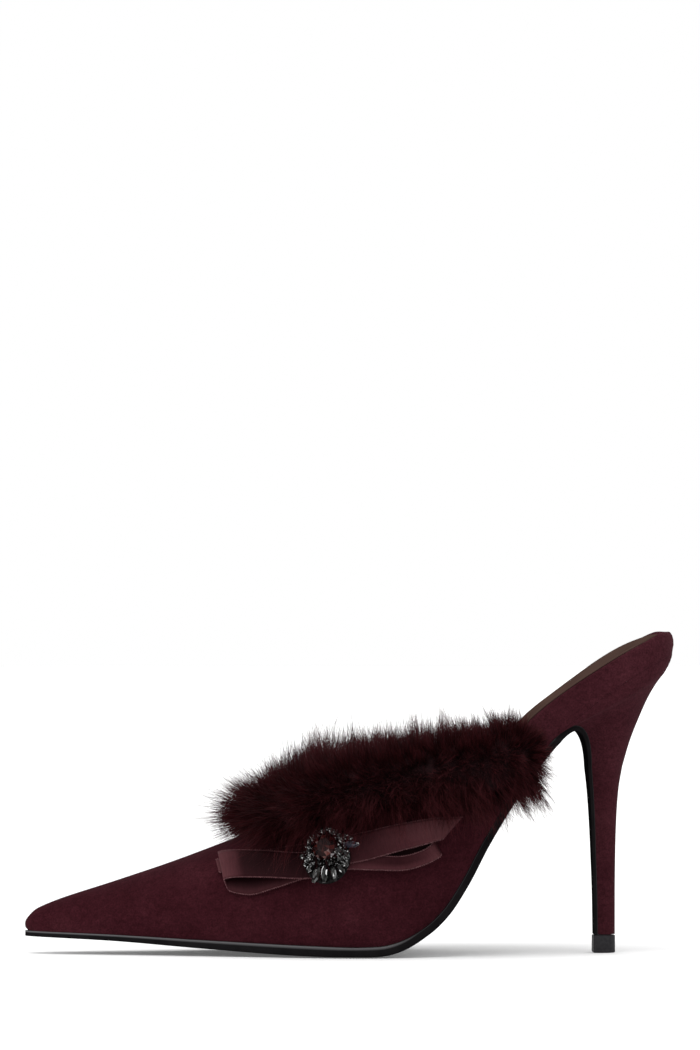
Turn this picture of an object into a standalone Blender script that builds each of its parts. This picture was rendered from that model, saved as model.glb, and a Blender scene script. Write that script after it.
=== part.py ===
"""A heeled mule: one left shoe with a pointed toe and a stiletto heel, as a shoemaker puts it together.

The toe points along -X and the heel stands at the origin, which is the centre of the heel tip's underside.
The outer side of the foot faces -Y and +Z is up. Lengths are in metres.
"""
import math
from bisect import bisect_right
from collections import namedtuple
from functools import lru_cache

import bmesh
import bpy
import numpy as np

MM = 0.001

# Driving sizes of the last, the form that the shoe is built on
SHOE_LENGTH = 236.4 * MM
HEEL_SETBACK = 25 * MM
HEEL_RISE = 105 * MM
BALL_WIDTH = 78 * MM
INSTEP_HEIGHT = 74.5 * MM
TOE_SPRING = 4.4 * MM
BALL_FEATHER = 4.0 * MM

# Upper
UPPER_WALL = 1.8 * MM
SIDE_TUCK_SHARE = 0.04
BELLY_SHARE = 0.22
SECTION_POWER = 2.2
THROAT_SHARE = 0.371
WING_END_SHARE = 0.768

# Footbed and sock
SEAT_WALL = 12.8 * MM
SEAT_CUP = 4.6 * MM
RIM_ROUND = 1.2 * MM
BED_FLUSH_RUN = 3.0 * MM
SEAT_ROUND_SHARE = 0.90
SOCK_THICKNESS = 1.0 * MM
SOCK_INSET = 1.3 * MM
SOCK_START_SHARE = 0.10
SOCK_END_SHARE = 0.982
SOCK_TOE_SHARE = 0.028

# Outsole and the flap that it runs into, down the front of the heel
SOLE_THICKNESS = 4.2 * MM
SOLE_EDGE_LIFT = 0.4 * MM
FLAP_THICKNESS = 1.3 * MM
TURN_SHARE = 0.809

# Heel
TIP_HEIGHT = 6.5 * MM
TIP_LENGTH = 8.2 * MM
TIP_HALF_WIDTH = 4.5 * MM
TIP_BEVEL = 0.4 * MM

# Fur band on the collar
FUR_DEPTH = 10 * MM
FUR_IN = 6.8 * MM
FUR_GAP = 0.45 * MM
FUR_REACH = 19 * MM
FUR_RINGS = 39
FUR_LOCK = 6.5 * MM
FUR_SHIFT_OUT = 2.2 * MM
FUR_END_ROUND = 10 * MM
FUR_SEED = 7
FUR_START_SHARE = 0.2
CUTTER_RIDGE = 0.985

# Ribbon bow and brooch
RIBBON_WIDTH = 9.5 * MM
RIBBON_THICKNESS = 0.5 * MM
BROOCH_SHARE = 0.4636
BOW_UP_SHARE = 0.4886
BOW_STEP_SHARE = 0.0402
BROOCH_UP_SHARE = 0.4591
BROOCH_LIFT = 5.0 * MM
BROOCH_HALF_LENGTH = 8.6 * MM
BROOCH_HALF_HEIGHT = 9.4 * MM
BROOCH_PLATE = 1.2 * MM
CENTRE_STONE = 4.7 * MM
CENTRE_STONE_RISE = 3.4 * MM
BEAD_RADIUS = 1.3 * MM
BEAD_RISE = 2.2 * MM
LONG_STONE_RISE = 2.4 * MM

# Fits between pieces
FIT_GAP = 0.3 * MM

TOE_X = HEEL_SETBACK - SHOE_LENGTH
OUTER, INNER = -1, 1

# The underside of the last from toe to seat: share of the length, of the toe spring and of the heel's rise, and
# how far the sections of the footbed and of the upper lean forward there, in degrees.
Bottom = namedtuple("Bottom", "along spring rise tilt lean")
BOTTOM_LINE = (
    Bottom(0.000, 1.00, 0.000, 0, 0),
    Bottom(0.118, 0.82, 0.000, 0, 0),
    Bottom(0.270, 0.45, 0.000, 0, 0),
    Bottom(0.426, 0.11, 0.000, 0, 0),
    Bottom(0.500, 0.00, 0.000, 0, 0),
    Bottom(0.537, 0.00, 0.003, 4, 0),
    Bottom(0.562, 0.00, 0.015, 12, 1),
    Bottom(0.606, 0.00, 0.067, 32, 4),
    Bottom(0.634, 0.00, 0.124, 43, 6),
    Bottom(0.665, 0.00, 0.226, 50, 10),
    Bottom(0.697, 0.00, 0.358, 53, 17),
    Bottom(0.752, 0.00, 0.550, 52, 42),
    Bottom(0.809, 0.00, 0.712, 46, 50),
    Bottom(0.858, 0.00, 0.806, 39, 50),
    Bottom(0.901, 0.00, 0.880, 30, 50),
    Bottom(0.970, 0.00, 0.972, 10, 50),
    Bottom(1.000, 0.00, 1.000, 2, 50),
)

# The last seen from above: where the middle and the ridge lie sideways and half the width, as shares of the ball
# width, and the ridge's height as a share of the instep height.
Outline = namedtuple("Outline", "along centre half ridge height")
OUTLINE = (
    Outline(0.000, 0.096, 0.000, 0.096, 0.062),
    Outline(0.005, 0.095, 0.048, 0.095, 0.080),
    Outline(0.020, 0.092, 0.082, 0.092, 0.112),
    Outline(0.050, 0.085, 0.118, 0.086, 0.155),
    Outline(0.118, 0.070, 0.182, 0.077, 0.232),
    Outline(0.194, 0.050, 0.245, 0.064, 0.322),
    Outline(0.270, 0.032, 0.315, 0.051, 0.420),
    Outline(0.367, 0.012, 0.405, 0.042, 0.557),
    Outline(0.430, 0.000, 0.462, 0.038, 0.670),
    Outline(0.506, -0.012, 0.500, 0.032, 0.810),
    Outline(0.578, -0.018, 0.480, 0.024, 0.890),
    Outline(0.654, -0.018, 0.415, 0.016, 0.790),
    Outline(0.707, -0.015, 0.370, 0.008, 0.520),
    Outline(0.768, -0.008, 0.330, 0.000, 0.280),
    Outline(0.840, 0.000, 0.322, 0.000, 0.280),
    Outline(0.900, 0.000, 0.332, 0.000, 0.400),
    Outline(1.000, 0.000, 0.332, 0.000, 0.400),
)

# Half the width of the foot's opening, as a share of the ball width, from the throat back to the wing's end
Opening = namedtuple("Opening", "behind outer inner")
OPENING = (
    Opening(0.00, 0.000, 0.000),
    Opening(0.03, 0.072, 0.070),
    Opening(0.075, 0.124, 0.118),
    Opening(0.14, 0.178, 0.168),
    Opening(0.24, 0.236, 0.222),
    Opening(0.35, 0.286, 0.268),
    Opening(0.55, 0.342, 0.316),
    Opening(0.75, 0.352, 0.330),
    Opening(0.90, 0.340, 0.322),
    Opening(1.00, 0.322, 0.312),
)

# The footbed: height of its side wall as a share of the seat wall, and depth of its cup as a share of the seat cup
Bed = namedtuple("Bed", "along wall cup")
BED = (
    Bed(0.00, 0.27, 0.00),
    Bed(0.50, 0.27, 0.05),
    Bed(0.60, 0.40, 0.20),
    Bed(0.68, 0.66, 0.55),
    Bed(0.74, 0.83, 0.80),
    Bed(0.79, 0.88, 0.95),
    Bed(0.85, 0.83, 1.00),
    Bed(0.90, 0.75, 1.00),
    Bed(0.96, 0.73, 0.88),
    Bed(0.984, 0.76, 0.55),
    Bed(1.00, 0.65, 0.00),
)

# Thickness of the outsole as a share of its thickness at the ball
Sole = namedtuple("Sole", "along thick lift")
SOLE = (
    Sole(0.00, 0.45, 0.20),
    Sole(0.12, 0.57, 0.50),
    Sole(0.27, 0.81, 0.90),
    Sole(0.43, 1.00, 1.00),
    Sole(0.55, 0.97, 1.00),
    Sole(0.60, 0.80, 0.60),
    Sole(0.70, 0.68, 0.30),
    Sole(0.82, 0.62, 0.30),
)

# The heel's stem: height and half width, and how far its front and back lie from the heel tip's centre. Heights are
# shares of the heel's rise, the others of half the heel tip's length and of its half width.
Stem = namedtuple("Stem", "height front back half")
STEM = (
    Stem(0.065, -0.63, 0.98, 0.95),
    Stem(0.190, -0.67, 0.98, 1.02),
    Stem(0.350, -0.80, 1.02, 1.20),
    Stem(0.475, -0.93, 1.12, 1.53),
    Stem(0.570, -1.08, 1.30, 1.90),
    Stem(0.648, -1.27, 1.63, 2.30),
)

# The heel's head, from the seat down to the stem: place on the turn under the shank, from 0 at the seat to 1 at the
# stem, where the section's back end lies, as shares of the heel's rise and setback, and its half width as a share of
# the ball's, with the share of it that is left at the front.
Head = namedtuple("Head", "turn back_z back_x half front")
HEAD = (
    Head(0.00, 1.000, 1.000, 0.309, 1.00),
    Head(0.18, 0.965, 0.850, 0.294, 0.96),
    Head(0.40, 0.905, 0.680, 0.252, 0.92),
    Head(0.62, 0.818, 0.510, 0.202, 0.90),
    Head(0.82, 0.732, 0.370, 0.163, 0.88),
    Head(1.00, 0.648, 0.267, 0.133, 0.86),
)
TURN_STEPS = 8

# The fur band's reach off the collar as shares of its depth, from the throat back to the wing's end and beyond
Fur = namedtuple("Fur", "behind up down out")
FUR = (
    Fur(0.00, 0.40, 2.10, 1.20),
    Fur(0.04, 0.65, 2.15, 1.35),
    Fur(0.12, 1.40, 2.20, 1.30),
    Fur(0.30, 1.65, 2.15, 1.05),
    Fur(0.60, 1.20, 1.80, 0.95),
    Fur(1.00, 0.95, 1.90, 1.00),
)

# Bow: knots of each ribbon as distances from the bow's middle, along in steps that are a share of the shoe's length,
# up in ribbon widths and out from the suede in ribbon thicknesses, and the turn of the ribbon's width from upright,
# in degrees.
Knot = namedtuple("Knot", "along up lift turn")
BOW = {
    "bow_loop_toe": (
        Knot(-0.12, -0.12, 6.4, 4),
        Knot(-1.00, -0.17, 9.5, 3),
        Knot(-2.20, -0.16, 12.5, 3),
        Knot(-3.30, -0.22, 12.0, 6),
        Knot(-3.98, -0.38, 8.2, 11),
        Knot(-3.86, -0.72, 4.6, 14),
        Knot(-3.00, -0.86, 3.4, 8),
        Knot(-2.00, -0.60, 3.4, -4),
        Knot(-1.00, -0.26, 3.4, -4),
        Knot(-0.12, -0.10, 3.4, 0),
    ),
    "bow_tail_toe": (
        Knot(-0.15, 0.02, 1.4, 4),
        Knot(-1.10, -0.03, 1.4, 4),
        Knot(-2.00, -0.08, 1.5, 4),
        Knot(-3.10, -0.20, 1.8, 7),
        Knot(-4.30, -0.34, 2.4, 12),
    ),
    "bow_tail_heel": (
        Knot(0.15, 0.14, 8.0, 6),
        Knot(1.29, 0.40, 9.0, 10),
        Knot(2.32, 0.70, 9.8, 16),
        Knot(3.35, 0.96, 9.4, 16),
        Knot(4.00, 1.08, 7.4, 16),
        Knot(4.60, 1.16, 4.0, 16),
    ),
    "bow_loop_heel": (
        Knot(0.15, 0.06, 6.0, 6),
        Knot(1.20, 0.34, 6.9, 10),
        Knot(2.40, 0.66, 7.5, 14),
        Knot(3.34, 0.86, 6.4, 14),
        Knot(3.76, 0.78, 4.2, 14),
        Knot(3.60, 0.52, 2.4, 12),
        Knot(3.00, 0.24, 1.5, 8),
        Knot(2.00, 0.12, 1.4, 4),
        Knot(1.00, 0.16, 1.4, 2),
        Knot(0.15, 0.10, 1.4, 2),
    ),
}

# Brooch: where its centre stone sits, the small round stones beside that, by angle, and the long-cut stones by
# angle and as shares of the centre stone's radius.
CENTRE_STONE_PLACE = (-0.15, 0.85)
BEAD_ANGLES = (34, 61, 88, 115, 142, 169, 196)
LongStone = namedtuple("LongStone", "angle reach length width")
LONG_STONES = (
    LongStone(6, 2.05, 1.20, 0.56),
    LongStone(219, 1.68, 0.95, 0.46),
    LongStone(240, 2.10, 1.30, 0.58),
    LongStone(258, 2.34, 1.56, 0.62),
    LongStone(276, 2.32, 1.56, 0.62),
    LongStone(295, 2.20, 1.46, 0.62),
    LongStone(318, 1.94, 1.15, 0.56),
    LongStone(344, 1.68, 0.90, 0.50),
)

# Colours, roughness and metallic value of each finish
Finish = namedtuple("Finish", "colour roughness metallic")
FINISHES = {
    "suede": Finish((0.050, 0.0125, 0.017), 0.95, 0.0),
    "sole_leather": Finish((0.010, 0.010, 0.011), 0.42, 0.0),
    "heel_tip": Finish((0.014, 0.014, 0.015), 0.5, 0.0),
    "sock": Finish((0.055, 0.030, 0.025), 0.55, 0.0),
    "fur": Finish((0.020, 0.004, 0.006), 0.8, 0.0),
    "satin": Finish((0.075, 0.020, 0.026), 0.35, 0.0),
    "gunmetal": Finish((0.030, 0.030, 0.033), 0.3, 1.0),
    "red_stone": Finish((0.035, 0.002, 0.003), 0.08, 0.0),
    "smoke_stone": Finish((0.060, 0.062, 0.068), 0.08, 0.3),
}


def clear_scene():
    """Removes what the file opened with."""
    for obj in list(bpy.data.objects):
        bpy.data.objects.remove(obj)


def finish(name):
    """The material of that name, made the first time it is asked for."""
    made = bpy.data.materials.get(name)
    if made is None:
        look = FINISHES[name]
        made = bpy.data.materials.new(name)
        made.use_nodes = True
        shader = made.node_tree.nodes["Principled BSDF"]
        shader.inputs["Base Color"].default_value = (*look.colour, 1)
        shader.inputs["Roughness"].default_value = look.roughness
        shader.inputs["Metallic"].default_value = look.metallic
        made.diffuse_color = (*look.colour, 1)
    return made


def curve(places, values):
    """A smooth curve through a table: cubic pieces whose slopes never overshoot the rows."""
    places, values = list(map(float, places)), list(map(float, values))
    steps = [b - a for a, b in zip(places, places[1:])]
    slopes = [(b - a) / step for a, b, step in zip(values, values[1:], steps)]
    tangents = [slopes[0]]
    for step, after, slope, next_slope in zip(steps, steps[1:], slopes, slopes[1:]):
        if slope * next_slope > 0:
            heavy, light = 2 * after + step, after + 2 * step
            tangents.append((heavy + light) / (heavy / slope + light / next_slope))
        else:
            tangents.append(0.0)
    tangents.append(slopes[-1])

    def value(place):
        at = min(max(float(place), places[0]), places[-1])
        row = min(bisect_right(places, at) - 1, len(steps) - 1)
        share = (at - places[row]) / steps[row]
        rest = 1 - share
        return (
            values[row] * (1 + 2 * share) * rest**2
            + values[row + 1] * share**2 * (3 - 2 * share)
            + steps[row] * share * rest * (tangents[row] * rest - tangents[row + 1] * share)
        )

    return value


@lru_cache(maxsize=None)
def table_curve(table, name, rooted):
    """The curve of one column of a table over its first one, or over that one's square root."""
    first = type(table[0])._fields[0]
    places = [getattr(row, first) for row in table]
    if rooted:
        places = [math.sqrt(place) for place in places]
    return curve(places, [getattr(row, name) for row in table])


def column(table, name, along):
    """A column of a table at a place along the shoe. The square root keeps the toe tip round."""
    return table_curve(table, name, True)(math.sqrt(max(along, 0)))


def x_at(along):
    return TOE_X + along * SHOE_LENGTH


def along_at(x):
    return (x - TOE_X) / SHOE_LENGTH


def feather_z(along):
    """Height of the last's underside, where upper and sole meet."""
    spring = table_curve(BOTTOM_LINE, "spring", False)(along)
    rise = table_curve(BOTTOM_LINE, "rise", False)(along)
    return BALL_FEATHER + spring * TOE_SPRING + rise * HEEL_RISE


def tilt(along, name="tilt"):
    """Lean of a section from upright, in radians."""
    return math.radians(table_curve(BOTTOM_LINE, name, False)(along))


def seat_round(along):
    """Share of the width that is left as the outline closes round the back of the seat."""
    into = (along - SEAT_ROUND_SHARE) / (1 - SEAT_ROUND_SHARE)
    return math.sqrt(max(0, 1 - max(into, 0) ** 2))


def half_width(along, side):
    """From the ridge line out to the widest point of that side."""
    half = column(OUTLINE, "half", along) * seat_round(along)
    offset = column(OUTLINE, "ridge", along) - column(OUTLINE, "centre", along)
    return max(half - side * offset * seat_round(along), 0) * BALL_WIDTH


def ridge_y(along):
    return column(OUTLINE, "ridge", along) * BALL_WIDTH


def feather_y(along, side, inset=0.0):
    """Sideways place of the edge of the last's underside."""
    return ridge_y(along) + side * max(half_width(along, side) * (1 - SIDE_TUCK_SHARE) - inset, 0)


# Upper: one lasted wall, from the feather edge over the ridge, open at the collar and underneath


def ridge_height(along):
    return column(OUTLINE, "height", along) * INSTEP_HEIGHT


def opening_half(along, side):
    """Half the opening's width on that side, nought in front of the throat."""
    behind = (along - THROAT_SHARE) / (WING_END_SHARE - THROAT_SHARE)
    if behind <= 0:
        return 0.0
    return column(OPENING, "outer" if side == OUTER else "inner", behind) * BALL_WIDTH


def section_point(along, side, up):
    """A point of the last's side: up runs from 0 at the feather edge to 1 at the ridge or the collar."""
    half = half_width(along, side)
    height = ridge_height(along)
    belly = BELLY_SHARE * height
    if up < BELLY_SHARE:
        share = up / BELLY_SHARE
        rise, out = belly * share, half * (1 - SIDE_TUCK_SHARE * (1 - share) ** 2)
    else:
        open_share = min(opening_half(along, side) / half, 1) if half > 0 else 0
        last_angle = math.acos(open_share ** (SECTION_POWER / 2))
        angle = last_angle * (up - BELLY_SHARE) / (1 - BELLY_SHARE)
        rise = belly + (height - belly) * math.sin(angle) ** (2 / SECTION_POWER)
        out = half * max(math.cos(angle), 0) ** (2 / SECTION_POWER)
    lean = tilt(along, "lean")
    return np.array(
        (
            x_at(along) - rise * math.sin(lean),
            ridge_y(along) + side * out,
            feather_z(along) + rise * math.cos(lean),
        )
    )


def section_normal(along, side, up):
    """The way out of the last there."""
    step = 1e-3
    ahead = section_point(along + step, side, up) - section_point(along - step, side, up)
    higher = section_point(along, side, min(up + step, 1)) - section_point(along, side, up - step)
    across = np.cross(ahead, higher) * -side
    return across / np.linalg.norm(across)


def side_place(x, z):
    """Place on the outer side of the last, as along and up, of a point given as the side view shows it."""
    along = along_at(x)
    for _ in range(12):
        lean = tilt(along, "lean")
        rise = (z - feather_z(along)) / math.cos(lean)
        along = along_at(x + rise * math.sin(lean))
    low, high = 0.0, 1.0
    for _ in range(30):
        up = (low + high) / 2
        if section_point(along, OUTER, up)[2] < z:
            low = up
        else:
            high = up
    return along, up


def upper_stations():
    """Places along the shoe, close together at the toe tip and behind the throat."""
    front = [THROAT_SHARE * (i / 15) ** 1.8 for i in range(15)]
    wing = WING_END_SHARE - THROAT_SHARE
    return front + [THROAT_SHARE + wing * (i / 14) ** 1.6 for i in range(15)]


def upper_sheet():
    """The upper's outer face as a mesh without thickness."""
    ups = [BELLY_SHARE * i / 3 for i in range(3)] + [
        BELLY_SHARE + (1 - BELLY_SHARE) * i / 8 for i in range(9)
    ]
    mesh = bmesh.new()
    for side in (OUTER, INNER):
        rows = []
        for along in upper_stations():
            row = [section_point(along, side, up) for up in ups]
            row[0] = row[0] + np.array((0, 0, FIT_GAP))
            rows.append([mesh.verts.new(point) for point in row])
        for row, after in zip(rows, rows[1:]):
            for i in range(len(ups) - 1):
                quad = [row[i], after[i], after[i + 1], row[i + 1]]
                mesh.faces.new(quad if side == OUTER else quad[::-1])
    bmesh.ops.remove_doubles(mesh, verts=mesh.verts, dist=1e-6)
    return mesh


# Footbed, sock, sole, heel and fur


def bed_wall(along):
    return column(BED, "wall", along) * SEAT_WALL


def bed_cup(along):
    return column(BED, "cup", along) * SEAT_CUP


def bed_inset(x, z):
    """How far the footbed's side lies inside the last's edge: within the upper's wall, and flush behind it."""
    end = section_point(WING_END_SHARE, OUTER, 0)
    lean = tilt(WING_END_SHARE, "lean")
    behind = (x - end[0]) + (z - end[2]) * math.tan(lean)
    share = min(max((behind - FIT_GAP) / BED_FLUSH_RUN, 0), 1)
    hidden = UPPER_WALL + 2 * FIT_GAP
    return hidden * (1 - share * share * (3 - 2 * share))


def bed_frame(along):
    """Foot point of a footbed section and the direction that its height runs in."""
    lean = tilt(along)
    return np.array((x_at(along), 0, feather_z(along))), np.array((-math.sin(lean), 0, math.cos(lean)))


def bed_point(along, across, height, grow=0.0):
    """A point of the footbed: across runs from -1 at its outer edge to 1 at its inner edge."""
    foot, rising = bed_frame(along)
    point = foot + rising * height
    side = INNER if across > 0 else OUTER
    edge = feather_y(along, side, bed_inset(point[0], point[2])) + side * grow
    middle = ridge_y(along)
    point[1] = middle + abs(across) * (edge - middle)
    return point


def bed_top(along, across):
    """Height of the footbed's upper face, cupped between its rims."""
    return bed_wall(along) - bed_cup(along) * max(math.cos(math.pi / 2 * across), 0) ** 1.2


def lofted(name, rings, material, smooth=35):
    """A closed solid through rings of as many points each. A ring runs round from its outer to its inner side and
    back, so its points pair off and each end closes with a ladder of faces."""
    mesh = bmesh.new()
    made = [[mesh.verts.new(point) for point in ring] for ring in rings]
    count = len(rings[0])
    for ring, after in zip(made, made[1:]):
        for i in range(count):
            j = (i + 1) % count
            mesh.faces.new((ring[i], ring[j], after[j], after[i]))
    for ring in (made[0], made[-1]):
        for i in range((count - 1) // 2):
            corners = [ring[i], ring[i + 1], ring[count - 2 - i], ring[count - 1 - i]]
            mesh.faces.new(list(dict.fromkeys(corners)))
    return solid(name, mesh, material, smooth)


def solid(name, mesh, material, smooth=35, closed=True):
    """An object from a bmesh. The faces of a closed one are turned outwards."""
    if closed:
        bmesh.ops.recalc_face_normals(mesh, faces=mesh.faces)
        if mesh.calc_volume(signed=True) < 0:
            bmesh.ops.reverse_faces(mesh, faces=mesh.faces)
    data = bpy.data.meshes.new(name)
    mesh.to_mesh(data)
    mesh.free()
    data.shade_smooth()
    data.set_sharp_from_angle(angle=math.radians(smooth))
    obj = bpy.data.objects.new(name, data)
    bpy.context.scene.collection.objects.link(obj)
    if material:
        data.materials.append(finish(material))
    return obj


def cutter(obj):
    """Marks an object as a cutter, which is no part of the shoe."""
    obj.hide_render = True
    obj.display_type = "WIRE"
    return obj


def cut(obj, tool):
    """Takes the tool's form out of an object."""
    difference = obj.modifiers.new("cut_" + tool.name, "BOOLEAN")
    difference.operation = "DIFFERENCE"
    difference.solver = "EXACT"
    difference.use_self = True
    difference.object = tool


def make_upper():
    """The vamp with its two wings: a lasted wall that is open at the collar and underneath."""
    upper = solid("upper", upper_sheet(), "suede", closed=False)
    wall = upper.modifiers.new("wall", "SOLIDIFY")
    wall.thickness = UPPER_WALL
    wall.offset = -1
    wall.use_even_offset = True
    return upper


def last_cutter():
    """The last with the upper on it and a gap round that, filled across the opening: what the fur band sits on."""
    ups = [BELLY_SHARE * i / 2 for i in range(2)] + [BELLY_SHARE + (1 - BELLY_SHARE) * i / 8 for i in range(9)]
    rings = []
    for along in upper_stations():
        if along < FUR_START_SHARE:
            continue
        sides = []
        for side in (OUTER, INNER):
            top = 1 if along > THROAT_SHARE else CUTTER_RIDGE
            row = [section_point(along, side, up * top) for up in ups]
            edge = (row[-1] - row[-2]) / np.linalg.norm(row[-1] - row[-2])
            row = [
                point + section_normal(along, side, min(up * top, 0.999)) * FUR_GAP
                for point, up in zip(row, ups)
            ]
            if along > THROAT_SHARE:
                row[-1] = row[-1] + edge * FUR_GAP
            row[0] = row[0] - np.array((0, 0, 2 * SOLE_THICKNESS))
            sides.append(row)
        rings.append(sides[0] + sides[1][::-1])
    last, before = np.array(rings[-1]), np.array(rings[-2])
    step = last - before
    rings.append(list(last + step / np.linalg.norm(step, axis=1)[:, None] * 2 * FUR_GAP))
    return cutter(lofted("cut_last", rings, None))


def bed_stations():
    """Places along the footbed, close together where it closes at the toe and round the seat."""
    front = [0.035 + 0.465 * (i / 12) ** 1.25 for i in range(12)]
    back = [0.5 + 0.40 * i / 18 for i in range(18)]
    seat = [1 - 0.1 * (1 - math.sin(math.pi / 2 * i / 7)) for i in range(7)]
    return front + back + seat + [0.9995]


def bed_ring(along, grow=0.0, top=0.0, below=0.0):
    """Section of the footbed, from its outer side round underneath to the inner side and back over the cup. It can
    be grown all round, and more on top and below."""
    wall = bed_wall(along)
    round_share = min(RIM_ROUND / max(half_width(along, OUTER), 1e-4), 0.5)
    rim = 1 - round_share
    base = FIT_GAP - grow - below
    wider = grow + (below and bed_inset(*bed_point(along, 0, base)[[0, 2]]))
    ring = [
        bed_point(along, -1, wall * 0.85 + grow + top, grow),
        bed_point(along, -1, wall * 0.4, wider),
        bed_point(along, -1, base, wider),
        bed_point(along, -0.4, base, grow),
        bed_point(along, 0.4, base, grow),
        bed_point(along, 1, base, wider),
        bed_point(along, 1, wall * 0.4, wider),
        bed_point(along, 1, wall * 0.85 + grow + top, grow),
    ]
    for across in (rim, 0.78, 0.5, 0.18, -0.18, -0.5, -0.78, -rim):
        ring.append(bed_point(along, across, bed_top(along, across) + grow + top, grow))
    return ring


def make_footbed():
    """The insole board and its padding, wrapped in suede: its side shows all round the seat."""
    return lofted("footbed", [bed_ring(along) for along in bed_stations()], "suede")


def bed_cutter():
    """The footbed's back half with a gap round it, the sock on it and the sole under it."""
    top = SOCK_THICKNESS + FIT_GAP
    below = 2 * SOLE_THICKNESS
    rings = [bed_ring(along, FUR_GAP, top, below) for along in bed_stations() if along > 0.6]
    return cutter(lofted("cut_footbed", rings, None))


def sock_ring(along):
    """Section of the sock, which lies on the cup from rim to rim, and ends round at the toe and at the seat."""
    half = max(half_width(along, OUTER), 1e-4)
    hidden = bed_inset(*bed_point(along, 0, bed_wall(along))[[0, 2]])
    into_seat = max(along - SEAT_ROUND_SHARE, 0) / (SOCK_END_SHARE - SEAT_ROUND_SHARE)
    into_toe = max(1 - (along - SOCK_START_SHARE) / SOCK_TOE_SHARE, 0)
    rounded = math.sqrt(max(1 - max(into_seat, into_toe) ** 2, 0)) / max(seat_round(along), 0.01)
    reach = max(rounded - (SOCK_INSET + hidden) / half, 0.05)
    places = [reach * s for s in (-1, -0.8, -0.5, -0.18, 0.18, 0.5, 0.8, 1)]
    under = [bed_point(along, a, bed_top(along, a) + 1.5 * FIT_GAP) for a in places]
    over = [bed_point(along, a, bed_top(along, a) + 1.5 * FIT_GAP + SOCK_THICKNESS) for a in places]
    return under + over[::-1]


def make_sock():
    """The brown sock lining on the footbed."""
    middle = SEAT_ROUND_SHARE - SOCK_START_SHARE - 0.03
    alongs = [SOCK_START_SHARE + 0.03 * (1 - math.cos(math.pi / 2 * i / 3)) for i in range(3)]
    alongs += [SOCK_START_SHARE + 0.03 + middle * i / 29 for i in range(29)]
    back = SOCK_END_SHARE - SEAT_ROUND_SHARE
    alongs += [SEAT_ROUND_SHARE + back * math.sin(math.pi / 2 * i / 6) for i in range(7)]
    return lofted("sock", [sock_ring(along) for along in alongs], "sock")


# Heel


def stem_value(name, height):
    """Front, back or half width of the stem at a height."""
    size = TIP_HALF_WIDTH if name == "half" else TIP_LENGTH / 2
    return table_curve(STEM, name, False)(height / HEEL_RISE) * size


def turn_point(share):
    """The curve that takes the sole from the shank down into the heel's front: 0 at the shank, 1 at the stem."""
    start = np.array((x_at(TURN_SHARE), feather_z(TURN_SHARE)))
    before = np.array((x_at(TURN_SHARE - 0.01), feather_z(TURN_SHARE - 0.01)))
    heading = (start - before) / np.linalg.norm(start - before)
    top = STEM[-1].height * HEEL_RISE
    end = np.array((stem_value("front", top), top))
    run = end[0] - start[0]
    bend_in = start + heading * run * 0.45
    bend_out = end + np.array((0.0, 1.45)) * run
    rest = 1 - share
    return (
        start * rest**3
        + 3 * bend_in * rest**2 * share
        + 3 * bend_out * rest * share**2
        + end * share**3
    )


def heel_profile(share, front):
    """Half width of a heel section from its front, 0, to its back, 1."""
    widest = 0.42
    if share < widest:
        return front + (1 - front) * math.sin(math.pi / 2 * share / widest)
    return math.sqrt(max(1 - ((share - widest) / (1 - widest)) ** 2, 0))


HEEL_SHARES = [0, 0.13, 0.27, 0.42, 0.57, 0.70, 0.81, 0.90, 0.95, 0.985]


def heel_ring(front, back, half, front_share):
    """Section of the heel: down its outer side from front to back, then up the inner side."""
    front, back = np.asarray(front), np.asarray(back)
    ring = []
    for side, shares in ((OUTER, HEEL_SHARES + [1.0]), (INNER, HEEL_SHARES[::-1])):
        for share in shares:
            middle = front + (back - front) * share
            ring.append((middle[0], side * half * heel_profile(share, front_share), middle[1]))
    return ring


def seat_ring():
    """The heel's top edge, on the underside of the footbed."""
    front_x, back_x = x_at(TURN_SHARE), x_at(1)
    ring = []
    for side, shares in ((OUTER, HEEL_SHARES + [1.0]), (INNER, HEEL_SHARES[::-1])):
        for share in shares:
            along = along_at(front_x + (back_x - front_x) * share)
            ring.append((x_at(along), feather_y(along, side, FIT_GAP), feather_z(along)))
    return ring


def make_heel():
    """The suede-covered stiletto, from the heel tip up to the cupped seat."""
    bottom = TIP_HEIGHT + FIT_GAP
    heights = [bottom] + [row.height * HEEL_RISE for row in STEM[1:]]
    rings = []
    for height in heights:
        front = (stem_value("front", height), height)
        back = (stem_value("back", height), height)
        rings.append(heel_ring(front, back, stem_value("half", height), 0.86))
    for step in range(TURN_STEPS - 1, 0, -1):
        turn = step / TURN_STEPS
        back_z, back_x, half, front = (table_curve(HEAD, name, False)(turn) for name in Head._fields[1:])
        back = (back_x * HEEL_SETBACK, back_z * HEEL_RISE)
        rings.append(heel_ring(turn_point(turn), back, half * BALL_WIDTH, front))
    rings.append(seat_ring())
    return lofted("heel", rings, "suede", 50)


def make_heel_tip():
    """The hard rubber top piece that the heel walks on."""
    rings = []
    for height, shrink in (
        (0, TIP_BEVEL),
        (TIP_BEVEL, 0),
        (TIP_HEIGHT - TIP_BEVEL, 0),
        (TIP_HEIGHT, TIP_BEVEL / 2),
    ):
        half_length = TIP_LENGTH / 2 - shrink
        rings.append(
            heel_ring((-half_length, height), (half_length, height), TIP_HALF_WIDTH - shrink, 0.9)
        )
    return lofted("heel_tip", rings, "heel_tip", 30)


# Outsole


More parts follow.
